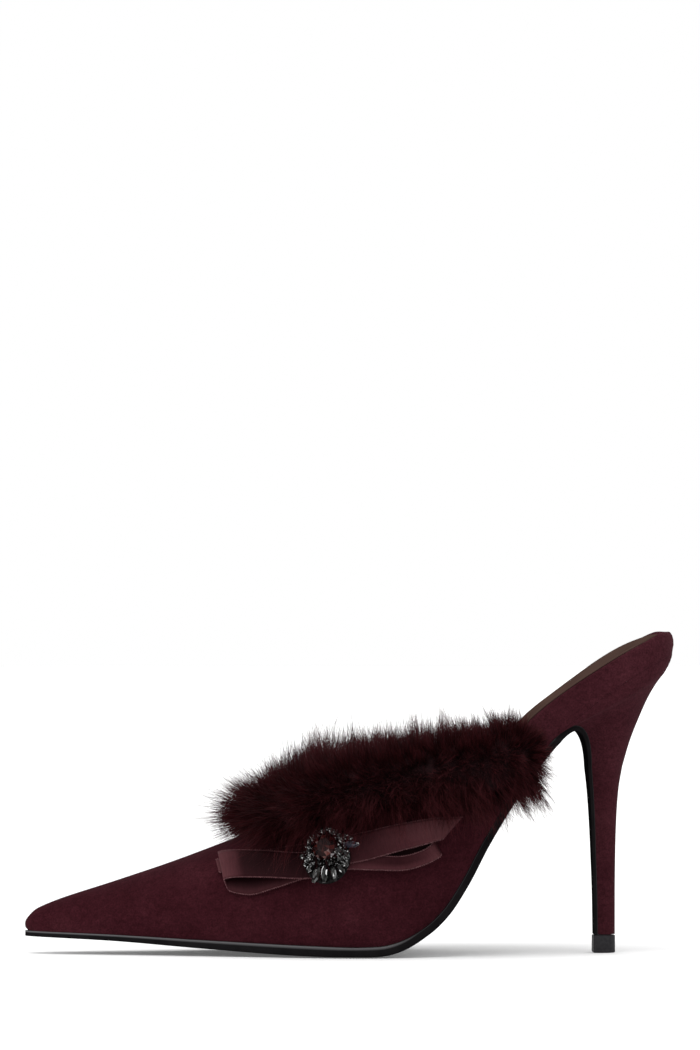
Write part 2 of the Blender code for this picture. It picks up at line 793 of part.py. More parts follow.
def sole_path():
    """The sole's upper face in side view, as places and headings with the width and thickness there."""
    Step = namedtuple("Step", "point outer inner thick lift")
    steps = []
    alongs = [TURN_SHARE * 0.5 * (i / 12) ** 1.7 for i in range(12)]
    alongs += [TURN_SHARE * (0.5 + 0.5 * i / 22) for i in range(23)]
    alongs[0] = 0.0006
    for along in alongs:
        thick = column(SOLE, "thick", along) * SOLE_THICKNESS
        lift = column(SOLE, "lift", along) * SOLE_EDGE_LIFT
        sides = feather_y(along, OUTER), feather_y(along, INNER)
        steps.append(Step(np.array((x_at(along), feather_z(along))), *sides, thick, lift))
    waist = steps[-1]
    stem_top = STEM[-1].height * HEEL_RISE
    for i in range(1, TURN_STEPS + 1):
        share = i / TURN_STEPS
        half = table_curve(HEAD, "half", False)(share) * table_curve(HEAD, "front", False)(share) * BALL_WIDTH
        thick = waist.thick + (FLAP_THICKNESS - waist.thick) * share
        steps.append(Step(turn_point(share), -half, half, thick, 0))
    bottom = TIP_HEIGHT + FIT_GAP
    for i in range(1, 8):
        height = stem_top + (bottom - stem_top) * i / 7
        half = stem_value("half", height) * 0.86
        front = np.array((stem_value("front", height), height))
        steps.append(Step(front, -half, half, FLAP_THICKNESS, 0))
    return steps


def make_outsole():
    """The thin leather sole: under the forefoot and shank, then down the front of the heel as a flap."""
    steps = sole_path()
    rings = []
    for i, step in enumerate(steps):
        before, after = steps[max(i - 1, 0)], steps[min(i + 1, len(steps) - 1)]
        heading = after.point - before.point
        heading = heading / np.linalg.norm(heading)
        down = np.array((heading[1], -heading[0]))
        if i == len(steps) - 1:
            down = np.array((-1.0, 0.0))
        top = step.point + down * FIT_GAP
        on_floor = top[1] / -down[1] if down[1] < -0.9 else step.thick * 2
        ring = [(top[0], step.outer, top[1]), (top[0], step.inner, top[1])]
        for share in (1, 0.97, 0.8, 0.4, -0.4, -0.8, -0.97, -1):
            edge = step.inner if share > 0 else step.outer
            middle = (step.inner + step.outer) / 2
            rolled = max(abs(share) - 0.4, 0) / 0.6
            depth = min(step.thick, on_floor) - step.lift * rolled**2
            if abs(share) == 1:
                depth *= 0.82
            under = top + down * depth
            ring.append((under[0], middle + abs(share) * (edge - middle), under[1]))
        rings.append(ring)
    return lofted("outsole", rings, "sole_leather", 40)


# Fur band


def collar_line():
    """Even steps along the collar, from the outer wing round the throat to the inner wing and on past both wings'
    ends: points, the ways out of the upper, up off the edge and along it, and the shares behind the throat."""
    halves = []
    for side in (OUTER, INNER):
        line = []
        for i in range(61):
            share = (i / 60) ** 1.6
            along = THROAT_SHARE + (WING_END_SHARE - THROAT_SHARE) * share
            line.append((section_point(along, side, 1), section_normal(along, side, 0.999), share))
        end, out, _ = line[-1]
        reach = end - line[-6][0]
        reach[2] = 0
        reach /= np.linalg.norm(reach)
        for step in np.linspace(0, FUR_REACH, 9)[1:]:
            line.append((end + reach * step, out, 1.0))
        halves.append(line)
    line = halves[0][:0:-1] + halves[1]
    fine = np.array([(*point, *out, share) for point, out, share in line])
    lengths = np.concatenate(([0], np.cumsum(np.linalg.norm(np.diff(fine[:, :3], axis=0), axis=1))))
    places = np.linspace(0, lengths[-1], FUR_RINGS)
    even = np.column_stack([np.interp(places, lengths, values) for values in fine.T])
    for _ in range(2):
        even[1:-1] = (even[:-2] + 2 * even[1:-1] + even[2:]) / 4
    points, outs = even[:, :3], even[:, 3:6]
    runs = np.gradient(points, axis=0)
    runs /= np.linalg.norm(runs, axis=1)[:, None]
    ups = np.cross(runs, outs)
    ups /= np.linalg.norm(ups, axis=1)[:, None]
    return points, np.cross(ups, runs), ups, runs, even[:, 6], np.minimum(places, places[::-1])


def make_fur():
    """The fur band on the collar: one body whose skin is drawn out into pointed locks."""
    rng = np.random.default_rng(FUR_SEED)
    points, outs, ups, runs, shares, to_end = collar_line()
    around = 14
    rings = []
    for i, point in enumerate(points):
        up, down, out = (table_curve(FUR, name, False)(shares[i]) * FUR_DEPTH for name in Fur._fields[1:])
        swell = max(math.sqrt(1 - (1 - min(to_end[i] / FUR_END_ROUND, 1)) ** 2), 0.35)
        ring = []
        for j in range(around):
            angle = 2 * math.pi * (j + 0.5 * (i % 2)) / around
            sideways, upwards = math.cos(angle), math.sin(angle)
            width = FUR_IN if sideways < 0 else out
            height = up if upwards > 0 else FUR_IN if sideways < -0.1 else down
            skin = outs[i] * sideways * width + ups[i] * upwards * height
            lock = FUR_LOCK * (0.6 + 0.4 * rng.random()) if j % 2 == 0 else 0.1 * FUR_LOCK
            if sideways < -0.1:
                lock = 0
            elif upwards > 0.5:
                lock *= min(up / FUR_DEPTH, 1)
            drawn = skin / np.linalg.norm(skin) * lock
            ring.append(point + outs[i] * FUR_SHIFT_OUT + (skin + drawn) * swell)
        rings.append(ring)
    mesh = bmesh.new()
    made = [[mesh.verts.new(point) for point in ring] for ring in rings]
    for ring, after in zip(made, made[1:]):
        for i in range(around):
            j = (i + 1) % around
            mesh.faces.new((ring[i], ring[j], after[j], after[i]))
    for ring, frame, way in ((made[0], 0, -1), (made[-1], -1, 1)):
        middle = points[frame] + outs[frame] * FUR_SHIFT_OUT
        tip = mesh.verts.new(middle + runs[frame] * way * FUR_LOCK * 0.6)
        for i in range(around):
            mesh.faces.new((ring[i], ring[(i + 1) % around], tip))
    return solid("fur_band", mesh, "fur", 60)


# Bow and brooch, on the outer side


@lru_cache(maxsize=None)
def brooch_place():
    """Centre of the brooch on the suede, and the ways along the shoe, up and out there."""
    along, up = side_place(x_at(BROOCH_SHARE), BROOCH_UP_SHARE * INSTEP_HEIGHT)
    out = section_normal(along, OUTER, up)
    upward = np.array((0.0, 0.0, 1.0))
    upward = upward - out * (upward @ out)
    upward /= np.linalg.norm(upward)
    return section_point(along, OUTER, up), np.cross(upward, out), upward, out


def on_suede(x, z, lift):
    """A point that far out from the suede of the outer side, over the point that the side view shows at x and z."""
    along, up = side_place(x, z)
    return section_point(along, OUTER, up) + section_normal(along, OUTER, up) * lift


def ribbon_rows(knots, cut_end=0.0, wider=0.0):
    """Rows of places across a ribbon, as x, z and lift off the suede. Its width stays upright but for the turn, and
    its end may be cut aslant."""
    curves = [curve(range(len(knots)), [knot[field] for knot in knots]) for field in range(4)]
    rows = []
    steps = 3
    for i in range(steps * (len(knots) - 1) + 1):
        along, up, lift, turn = (value(i / steps) for value in curves)
        angle = math.radians(turn)
        row = []
        for across in (-0.5 - wider, -0.17, 0.17, 0.5 + wider):
            slant = cut_end * across * (i / steps / (len(knots) - 1)) ** 6
            x = x_at(BROOCH_SHARE + along * BOW_STEP_SHARE) + (slant - across * math.sin(angle)) * RIBBON_WIDTH
            z = BOW_UP_SHARE * INSTEP_HEIGHT + (up + across * math.cos(angle)) * RIBBON_WIDTH
            row.append((x, z, lift * RIBBON_THICKNESS))
        rows.append(row)
    return rows


def make_ribbon(name, knots, cut_end=0.0):
    """A strip of satin along its knots."""
    mesh = bmesh.new()
    rows = [[mesh.verts.new(on_suede(*place)) for place in row] for row in ribbon_rows(knots, cut_end)]
    for row, after in zip(rows, rows[1:]):
        for i in range(3):
            mesh.faces.new((row[i], after[i], after[i + 1], row[i + 1]))
    ribbon = solid(name, mesh, "satin", 60, closed=False)
    thick = ribbon.modifiers.new("thickness", "SOLIDIFY")
    thick.thickness = RIBBON_THICKNESS
    thick.offset = 0


def ribbon_cutter(name, knots):
    """The room that a ribbon takes up over the suede, with the fit gap round it."""
    rings = []
    grown = RIBBON_THICKNESS / 2 + 1.5 * FIT_GAP
    for row in ribbon_rows(knots, wider=2 * FIT_GAP / RIBBON_WIDTH):
        under = [on_suede(x, z, -2 * FIT_GAP) for x, z, _ in row]
        over = [on_suede(x, z, lift + grown) for x, z, lift in row]
        rings.append(under + over[::-1])
    return cutter(lofted("cut_" + name, rings, None))


def brooch_point(right, up, out):
    """A point of the brooch, from its centre on the suede."""
    centre, along, upward, outward = brooch_place()
    return centre + along * right + upward * up + outward * (BROOCH_LIFT + out)


def stacked(name, rings, material, smooth):
    """A solid through flat rings, closed by a flat face at each end."""
    mesh = bmesh.new()
    made = [[mesh.verts.new(point) for point in ring] for ring in rings]
    for ring, after in zip(made, made[1:]):
        for i in range(len(ring)):
            j = (i + 1) % len(ring)
            mesh.faces.new((ring[i], ring[j], after[j], after[i]))
    mesh.faces.new(made[0])
    mesh.faces.new(made[-1])
    return solid(name, mesh, material, smooth)


def oval_ring(grow, out, count=24):
    """A ring of points round the brooch's plate."""
    ring = []
    for i in range(count):
        angle = 2 * math.pi * i / count
        right = (BROOCH_HALF_LENGTH + grow) * math.cos(angle)
        up = (BROOCH_HALF_HEIGHT + grow) * math.sin(angle)
        ring.append(brooch_point(right, up, out))
    return ring


def make_gem(name, place, half_a, half_b, turn, height, material, sides=8):
    """A cut stone on the brooch's plate: a girdle, a sloping crown and a flat table."""
    rings = []
    seat = BROOCH_PLATE + FIT_GAP
    for size, rise in ((0.80, 0), (1.0, 0.40), (1.0, 0.55), (0.55, 1.0)):
        ring = []
        for i in range(sides):
            angle = 2 * math.pi * (i + 0.5) / sides
            a, b = math.cos(angle) * half_a * size, math.sin(angle) * half_b * size
            right = place[0] + a * math.cos(turn) - b * math.sin(turn)
            up = place[1] + a * math.sin(turn) + b * math.cos(turn)
            ring.append(brooch_point(right, up, seat + height * rise))
        rings.append(ring)
    return stacked(name, rings, material, 10)


def beside_centre(angle, reach):
    """A place on the plate at that angle and distance from the centre stone's middle."""
    right = CENTRE_STONE_PLACE[0] * CENTRE_STONE + reach * math.cos(angle)
    return right, CENTRE_STONE_PLACE[1] * CENTRE_STONE + reach * math.sin(angle)


def make_brooch():
    """The gunmetal plate, its dark red centre stone, the small round stones and the fan of long-cut stones."""
    profile = ((-0.35, 0), (0, 0.3), (0, 0.7), (-0.4, 1))
    rings = [oval_ring(grow * BROOCH_PLATE, out * BROOCH_PLATE) for grow, out in profile]
    stacked("brooch_plate", rings, "gunmetal", 30)
    middle = beside_centre(0, 0)
    make_gem("brooch_centre_stone", middle, CENTRE_STONE, CENTRE_STONE, 0, CENTRE_STONE_RISE, "red_stone", 12)
    for number, degrees in enumerate(BEAD_ANGLES):
        angle = math.radians(degrees)
        place = beside_centre(angle, CENTRE_STONE + FIT_GAP + BEAD_RADIUS)
        name = f"brooch_round_stone_{number + 1}"
        make_gem(name, place, BEAD_RADIUS, BEAD_RADIUS, angle, BEAD_RISE, "smoke_stone")
    for number, stone in enumerate(LONG_STONES):
        angle = math.radians(stone.angle)
        place = beside_centre(angle, stone.reach * CENTRE_STONE)
        half_length, half_width = stone.length * CENTRE_STONE / 2, stone.width * CENTRE_STONE / 2
        name = f"brooch_long_stone_{number + 1}"
        make_gem(name, place, half_length, half_width, angle, LONG_STONE_RISE, "smoke_stone")


def brooch_cutter():
    """The room over the suede that the brooch takes up."""
    grow = BEAD_RADIUS + 2 * FIT_GAP
    rings = [oval_ring(grow, -BROOCH_LIFT - 2 * FIT_GAP), oval_ring(grow, BROOCH_PLATE + 2 * CENTRE_STONE_RISE)]
    return cutter(stacked("cut_brooch", rings, None, 30))


def keep_largest(obj):
    """Turns an object's modifiers into mesh and drops the crumbs that its cuts left: the bodies whose faces don't
    meet those of the largest."""
    bpy.context.view_layer.update()
    left = obj.evaluated_get(bpy.context.evaluated_depsgraph_get())
    mesh = bmesh.new()
    mesh.from_mesh(left.to_mesh())
    left.to_mesh_clear()
    bodies = []
    waiting = set(mesh.faces)
    while waiting:
        body = []
        edge_of_body = [waiting.pop()]
        while edge_of_body:
            face = edge_of_body.pop()
            body.append(face)
            for edge in face.edges:
                if len(edge.link_faces) != 2:
                    continue
                for other in edge.link_faces:
                    if other in waiting:
                        waiting.remove(other)
                        edge_of_body.append(other)
        bodies.append(body)
    bodies.sort(key=len)
    crumbs = [face for body in bodies[:-1] for face in body]
    bmesh.ops.delete(mesh, geom=crumbs, context="FACES")
    obj.modifiers.clear()
    mesh.to_mesh(obj.data)
    mesh.free()


def main():
    clear_scene()
    make_outsole()
    make_footbed()
    make_sock()
    make_upper()
    make_heel()
    make_heel_tip()
    for name, knots in BOW.items():
        make_ribbon(name, knots, 0.6 if name == "bow_tail_heel" else 0)
    make_brooch()
    fur = make_fur()
    tail, loop = BOW["bow_tail_heel"], BOW["bow_loop_toe"][:6]
    tools = (bed_cutter(), last_cutter(), ribbon_cutter("tail", tail), ribbon_cutter("loop", loop), brooch_cutter())
    for tool in tools:
        cut(fur, tool)
        keep_largest(fur)


main()
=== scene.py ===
# %% [markdown]
# # A heeled mule with a fur trim
#
# This lesson dresses the plain, faceted model of one left shoe: a pointed suede mule on a thin heel, with fur round
# the collar, a ribbon bow and a stone brooch. Each visible piece is worked out again as a smooth surface from the
# sections of the last, which is the form that a shoe is built on.

import bmesh
import bpy
import numpy as np
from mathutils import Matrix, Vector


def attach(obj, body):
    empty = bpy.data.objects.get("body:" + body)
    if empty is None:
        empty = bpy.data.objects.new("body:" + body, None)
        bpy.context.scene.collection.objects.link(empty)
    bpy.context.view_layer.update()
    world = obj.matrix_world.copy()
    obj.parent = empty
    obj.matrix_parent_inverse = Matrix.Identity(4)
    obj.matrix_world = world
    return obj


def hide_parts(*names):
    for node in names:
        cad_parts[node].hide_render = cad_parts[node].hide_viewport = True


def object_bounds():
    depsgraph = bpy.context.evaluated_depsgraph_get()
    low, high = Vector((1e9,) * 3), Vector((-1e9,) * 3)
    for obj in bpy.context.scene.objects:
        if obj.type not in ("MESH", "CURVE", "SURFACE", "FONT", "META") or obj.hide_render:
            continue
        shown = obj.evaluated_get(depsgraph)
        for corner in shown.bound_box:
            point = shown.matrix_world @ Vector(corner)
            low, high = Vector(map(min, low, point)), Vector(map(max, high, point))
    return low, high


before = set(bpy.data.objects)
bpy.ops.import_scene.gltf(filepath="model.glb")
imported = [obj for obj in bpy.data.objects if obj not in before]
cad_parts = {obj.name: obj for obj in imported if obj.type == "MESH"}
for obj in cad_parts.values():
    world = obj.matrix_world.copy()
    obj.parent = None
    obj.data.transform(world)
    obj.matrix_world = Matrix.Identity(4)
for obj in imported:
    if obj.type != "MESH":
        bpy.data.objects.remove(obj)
cad_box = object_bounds()
MM = 0.001
OUTER, INNER = -1, 1
print("plain pieces:", len(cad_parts))

# %% [markdown]
# ## The last
#
# A shoemaker stretches every piece over one form, so all the surfaces here come from the same few tables. Each row
# is a section across the foot. A smooth curve through a column gives the values between the rows.

# %% Sizes of the last and its pieces
SHOE_LENGTH = 236.4 * MM
HEEL_SETBACK = 25 * MM
HEEL_RISE = 105 * MM
BALL_WIDTH = 78 * MM
INSTEP_HEIGHT = 74.5 * MM
TOE_SPRING = 4.4 * MM
BALL_FEATHER = 4.0 * MM
UPPER_WALL = 1.8 * MM
SIDE_TUCK = 0.04
BELLY_SHARE = 0.22
SECTION_POWER = 2.2
THROAT_ALONG = 0.371
WING_END_ALONG = 0.768
SEAT_WALL = 12.8 * MM
SEAT_CUP = 4.6 * MM
RIM_ROUND = 1.2 * MM
SEAT_ROUND_SHARE = 0.90
SOCK_INSET = 1.0 * MM
SOCK_START_ALONG = 0.10
SOCK_END_ALONG = 0.988
SOCK_TOE_ROUND = 0.028
SOLE_THICKNESS = 4.2 * MM
SOLE_EDGE_LIFT = 0.4 * MM
FLAP_THICKNESS = 1.3 * MM
TURN_ALONG = 0.809
TIP_HEIGHT = 6.5 * MM
TIP_LENGTH = 8.2 * MM
TIP_HALF_WIDTH = 4.5 * MM
TIP_BEVEL = 0.4 * MM
FIT_GAP = 0.3 * MM
TOE_X = HEEL_SETBACK - SHOE_LENGTH


def table(text):
    """Named columns from a table's text, whose first line names them."""
    names, *rows = text.strip().splitlines()
    return dict(zip(names.split(), np.array([row.split() for row in rows], float).T))


BOTTOM_LINE = table("""
    along spring  rise tilt lean
    0.000   1.00 0.000    0    0
    0.118   0.82 0.000    0    0
    0.270   0.45 0.000    0    0
    0.426   0.11 0.000    0    0
    0.500   0.00 0.000    0    0
    0.537   0.00 0.003    4    0
    0.562   0.00 0.015   12    1
    0.606   0.00 0.067   32    4
    0.634   0.00 0.124   43    6
    0.665   0.00 0.226   50   10
    0.697   0.00 0.358   53   17
    0.752   0.00 0.550   52   42
    0.809   0.00 0.712   46   50
    0.858   0.00 0.806   39   50
    0.901   0.00 0.880   30   50
    0.970   0.00 0.972   10   50
    1.000   0.00 1.000    2   50
""")
OUTLINE = table("""
    along centre  half ridge height
    0.000  0.096 0.000 0.096  0.062
    0.005  0.095 0.048 0.095  0.080
    0.020  0.092 0.082 0.092  0.112
    0.050  0.085 0.118 0.086  0.155
    0.118  0.070 0.182 0.077  0.232
    0.194  0.050 0.245 0.064  0.322
    0.270  0.032 0.315 0.051  0.420
    0.367  0.012 0.405 0.042  0.557
    0.430  0.000 0.462 0.038  0.670
    0.506 -0.012 0.500 0.032  0.810
    0.578 -0.018 0.480 0.024  0.890
    0.654 -0.018 0.415 0.016  0.790
    0.707 -0.015 0.370 0.008  0.520
    0.768 -0.008 0.330 0.000  0.280
    0.840  0.000 0.322 0.000  0.280
    0.900  0.000 0.332 0.000  0.400
    1.000  0.000 0.332 0.000  0.400
""")
OPENING = table("""
    behind outer inner
      0.00 0.000 0.000
      0.03 0.072 0.070
     0.075 0.124 0.118
      0.14 0.178 0.168
      0.24 0.236 0.222
      0.35 0.286 0.268
      0.55 0.342 0.316
      0.75 0.352 0.330
      0.90 0.340 0.322
      1.00 0.322 0.312
""")
BED = table("""
    along wall  cup
     0.00 0.27 0.00
     0.50 0.27 0.05
     0.60 0.40 0.20
     0.68 0.66 0.55
     0.74 0.83 0.80
     0.79 0.88 0.95
     0.85 0.83 1.00
     0.90 0.75 1.00
     0.96 0.73 0.88
    0.984 0.76 0.55
     1.00 0.65 0.00
""")
SOLE = table("""
    along thick lift
     0.00  0.45 0.20
     0.12  0.57 0.50
     0.27  0.81 0.90
     0.43  1.00 1.00
     0.55  0.97 1.00
     0.60  0.80 0.60
     0.70  0.68 0.30
     0.82  0.62 0.30
""")
STEM = table("""
    height front back half
     0.065 -0.63 0.98 0.95
     0.190 -0.67 0.98 1.02
     0.350 -0.80 1.02 1.20
     0.475 -0.93 1.12 1.53
     0.570 -1.08 1.30 1.90
     0.648 -1.27 1.63 2.30
""")
HEAD = table("""
    turn back_z back_x  half front
    0.00  1.000  1.000 0.309  1.00
    0.18  0.965  0.850 0.294  0.96
    0.40  0.905  0.680 0.252  0.92
    0.62  0.818  0.510 0.202  0.90
    0.82  0.732  0.370 0.163  0.88
    1.00  0.648  0.267 0.133  0.86
""")


# %% Smooth curves through the tables
def curve(places, values):
    """Cubic pieces through the rows. Each inner slope is the weighted harmonic mean of its two neighbours' slopes,
    so the curve never overshoots a row."""
    steps = np.diff(places)
    slopes = np.diff(values) / steps
    heavy, light = 2 * steps[1:] + steps[:-1], steps[1:] + 2 * steps[:-1]
    agree = slopes[:-1] * slopes[1:] > 0
    first, second = np.where(agree, slopes[:-1], 1), np.where(agree, slopes[1:], 1)
    inner = np.where(agree, (heavy + light) / (heavy / first + light / second), 0)
    tangents = np.concatenate((slopes[:1], inner, slopes[-1:]))

    def value(at):
        at = np.clip(at, places[0], places[-1])
        row = np.clip(np.searchsorted(places, at, "right") - 1, 0, len(steps) - 1)
        share = (at - places[row]) / steps[row]
        rest = 1 - share
        ends = values[row] * (1 + 2 * share) * rest**2 + values[row + 1] * share**2 * (3 - 2 * share)
        return ends + steps[row] * share * rest * (tangents[row] * rest - tangents[row + 1] * share)

    return value


def plain_curve(source, name):
    """A column over the table's first column."""
    return curve(next(iter(source.values())), source[name])


def rooted_curve(source, name):
    """A column over the square root of the place along the shoe, which keeps the toe tip round."""
    along = curve(np.sqrt(source["along"]), source[name])
    return lambda at: along(np.sqrt(np.maximum(at, 0)))


spring, rise = plain_curve(BOTTOM_LINE, "spring"), plain_curve(BOTTOM_LINE, "rise")
bed_tilt, wall_lean = plain_curve(BOTTOM_LINE, "tilt"), plain_curve(BOTTOM_LINE, "lean")
centre, half, ridge, height = (rooted_curve(OUTLINE, n) for n in ("centre", "half", "ridge", "height"))
opening_outer, opening_inner = plain_curve(OPENING, "outer"), plain_curve(OPENING, "inner")
bed_wall_share, bed_cup_share = rooted_curve(BED, "wall"), rooted_curve(BED, "cup")


# %% The last as a function
def x_at(along):
    return TOE_X + along * SHOE_LENGTH


def feather_z(along):
    """Height of the last's lower edge: the ball's, the toe's spring and the rise to the heel."""
    return BALL_FEATHER + spring(along) * TOE_SPRING + rise(along) * HEEL_RISE


def seat_round(along):
    """A quarter ellipse that closes the outline round the back of the seat."""
    into = (along - SEAT_ROUND_SHARE) / (1 - SEAT_ROUND_SHARE)
    return np.sqrt(np.maximum(0, 1 - np.maximum(into, 0) ** 2))


def half_width(along, side):
    """From the ridge line out to the widest point of that side."""
    offset = ridge(along) - centre(along)
    return np.maximum(half(along) - side * offset, 0) * seat_round(along) * BALL_WIDTH


def feather_y(along, side, inset=0.0):
    """Sideways place of the last's lower edge."""
    out = np.maximum(half_width(along, side) * (1 - SIDE_TUCK) - inset, 0)
    return ridge(along) * BALL_WIDTH + side * out


def opening_half(along, side):
    """Half the opening's width on that side, nought in front of the throat."""
    behind = (along - THROAT_ALONG) / (WING_END_ALONG - THROAT_ALONG)
    wide = np.where(side == OUTER, opening_outer(behind), opening_inner(behind))
    return np.where(behind > 0, wide, 0) * BALL_WIDTH


def on_last(along, side, up):
    """A point of the last's side. It tucks in under the belly, and over it follows a superellipse up to the ridge
    or the collar; the whole section leans forward with the shank."""
    along, side, up = np.broadcast_arrays(np.asarray(along, float), side, np.asarray(up, float))
    wide = np.maximum(half_width(along, side), 1e-9)
    tall = height(along) * INSTEP_HEIGHT
    belly = BELLY_SHARE * tall
    low = np.clip(up / BELLY_SHARE, 0, 1)
    open_share = np.clip(opening_half(along, side) / wide, 0, 1)
    last_angle = np.arccos(open_share ** (SECTION_POWER / 2))
    angle = last_angle * np.clip((up - BELLY_SHARE) / (1 - BELLY_SHARE), 0, 1)
    over = belly + (tall - belly) * np.sin(angle) ** (2 / SECTION_POWER)
    risen = np.where(up < BELLY_SHARE, belly * low, over)
    tucked = wide * (1 - SIDE_TUCK * (1 - low) ** 2)
    out = np.where(up < BELLY_SHARE, tucked, wide * np.cos(angle) ** (2 / SECTION_POWER))
    lean = np.radians(wall_lean(along))
    x = x_at(along) - risen * np.sin(lean)
    z = feather_z(along) + risen * np.cos(lean)
    return np.stack((x, ridge(along) * BALL_WIDTH + side * out, z), -1)


def smooth_step(share):
    """From 0 to 1 with level ends: 3 s^2 - 2 s^3."""
    share = np.clip(share, 0, 1)
    return share * share * (3 - 2 * share)


def run_along(points):
    """The length walked along a line, at each of its points."""
    return np.concatenate(([0], np.cumsum(np.linalg.norm(np.diff(points, axis=0), axis=1))))


def resampled(at, run, points):
    """The columns of a line's points at other lengths along it."""
    return np.column_stack([np.interp(at, run, values) for values in points.T])


def unit(vectors):
    return vectors / np.maximum(np.linalg.norm(vectors, axis=-1, keepdims=True), 1e-12)


def off_last(along, side, up):
    """The way out of the last: the cross product of two short steps over it."""
    step = 0.001
    ahead = on_last(along + step, side, up) - on_last(along - step, side, up)
    higher = on_last(along, side, np.minimum(up + step, 1)) - on_last(along, side, up - step)
    return unit(np.cross(ahead, higher) * -side)


print("throat at", np.round(on_last(THROAT_ALONG, OUTER, 1.0) * 1000, 1), "mm")

# %% [markdown]
# ## From a grid of points to a piece
#
# A surface is a function of two parameters, so its points form a grid. Every four neighbours make one face.


# %% Meshes from grids
WELD, SLIVER = 2e-6, 1e-7
SHARP_EDGE = np.radians(50)


def grid_faces(rows, cols, round_it=False):
    """Faces of a grid by index: a corner and its three neighbours. In a round one the last column joins the
    first."""
    index = np.arange(rows * cols).reshape(rows, cols)
    if round_it:
        index = np.hstack((index, index[:, :1]))
    corners = (index[:-1, :-1], index[1:, :-1], index[1:, 1:], index[:-1, 1:])
    return np.stack(corners, -1).reshape(-1, 4)


def linked(name, data):
    """A new object of the scene."""
    made = bpy.data.objects.new(name, data)
    bpy.context.scene.collection.objects.link(made)
    return made


def new_piece(name, mesh, material):
    """A mesh as an object that rides on the shoe's one body, in one material."""
    piece = linked(name, mesh)
    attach(piece, "root")
    mesh.materials.append(material)
    return piece


def cleaned(mesh, closed):
    """Joins points that meet. A closed skin also loses its slivers and is turned to face outwards."""
    work = bmesh.new()
    work.from_mesh(mesh)
    bmesh.ops.remove_doubles(work, verts=work.verts, dist=WELD)
    if closed:
        bmesh.ops.dissolve_degenerate(work, edges=work.edges, dist=SLIVER)
        bmesh.ops.recalc_face_normals(work, faces=work.faces)
    work.to_mesh(mesh)
    work.free()


def mesh_of(name, points, faces):
    mesh = bpy.data.meshes.new(name)
    mesh.from_pydata(np.reshape(points, (-1, 3)).tolist(), [], faces)
    return mesh


def sheet(name, grids, material, round_it=False):
    """A smooth open piece from one or more grids."""
    points, faces, start = [], [], 0
    for grid in grids:
        faces.append(grid_faces(*grid.shape[:2], round_it) + start)
        points.append(grid.reshape(-1, 3))
        start += len(points[-1])
    mesh = mesh_of(name, np.vstack(points), np.vstack(faces).tolist())
    mesh.shade_smooth()
    return new_piece(name, mesh, material)


def loft(name, rings, material):
    """A closed skin through rings of equal count, each end fanned to its middle."""
    rows, cols = rings.shape[:2]
    points = np.vstack((rings.reshape(-1, 3), rings[0].mean(0), rings[-1].mean(0)))
    faces = grid_faces(rows, cols, True).tolist()
    last, middle = (rows - 1) * cols, rows * cols
    for i in range(cols):
        j = (i + 1) % cols
        faces += [(i, j, middle), (last + j, last + i, middle + 1)]
    mesh = mesh_of(name, points, faces)
    cleaned(mesh, True)
    mesh.shade_smooth()
    mesh.set_sharp_from_angle(angle=SHARP_EDGE)
    return new_piece(name, mesh, material)


def walled(piece, thickness, offset=-1.0):
    """Gives a sheet its thickness."""
    wall = piece.modifiers.new("wall", "SOLIDIFY")
    wall.thickness = thickness
    wall.offset = offset
    return wall


def corners_of(mesh):
    """The points of a mesh, a row each."""
    found = np.empty(len(mesh.vertices) * 3, np.float32)
    mesh.vertices.foreach_get("co", found)
    return found.reshape(-1, 3).astype(float)


def store(mesh, name, domain, values):
    """Keeps a number for each point or face of a mesh."""
    numbers = np.asarray(values, np.float32).ravel()
    mesh.attributes.new(name, "FLOAT", domain).data.foreach_set("value", numbers)


# %% Helpers for materials
def new_material(name, **sockets):
    """A material whose shader has these values set directly on its sockets."""
    material = bpy.data.materials.new(name)
    material.use_nodes = True
    shader = material.node_tree.nodes["Principled BSDF"]
    for socket, value in sockets.items():
        shader.inputs[socket.replace("_", " ")].default_value = value
    return material


def add_node(material, kind, values=None, **settings):
    """One node with its settings, and its input values or links by socket name or number."""
    made = material.node_tree.nodes.new(kind)
    for name, value in settings.items():
        setattr(made, name, value)
    for socket, value in (values or {}).items():
        if isinstance(value, bpy.types.NodeSocket):
            material.node_tree.links.new(value, made.inputs[socket])
        else:
            made.inputs[socket].default_value = value
    return made


def feed(material, socket, output):
    shader = material.node_tree.nodes["Principled BSDF"]
    material.node_tree.links.new(output, shader.inputs[socket])


def noise(material, scale, detail, roughness, stretch=None, on=None):
    """Noise on the piece's own coordinates or on those given, finer or coarser along an axis if stretched."""
    if on is None:
        on = add_node(material, "ShaderNodeTexCoord").outputs["Object"]
    if stretch:
        on = add_node(material, "ShaderNodeMapping", {"Vector": on, "Scale": stretch}).outputs["Vector"]
    values = {"Vector": on, "Scale": scale, "Detail": detail, "Roughness": roughness}
    return add_node(material, "ShaderNodeTexNoise", values).outputs["Fac"]


def attribute(material, name):
    """A number that is stored on the mesh."""
    return add_node(material, "ShaderNodeAttribute", attribute_name=name).outputs["Fac"]


def ramp(material, factor, *stops):
    """Colours by factor: each stop is a place and a colour."""
    made = add_node(material, "ShaderNodeValToRGB", {"Fac": factor})
    elements = made.color_ramp.elements
    for index, (place, colour) in enumerate(stops):
        element = elements[index] if index < 2 else elements.new(place)
        element.position = place
        element.color = (*colour, 1)
    return made.outputs["Color"]


def grey_ramp(material, factor, *stops):
    """Greys by factor."""
    return ramp(material, factor, *((place, (level,) * 3) for place, level in stops))


def coloured(material, factor, *stops):
    """The base colour by factor."""
    feed(material, "Base Color", ramp(material, factor, *stops))


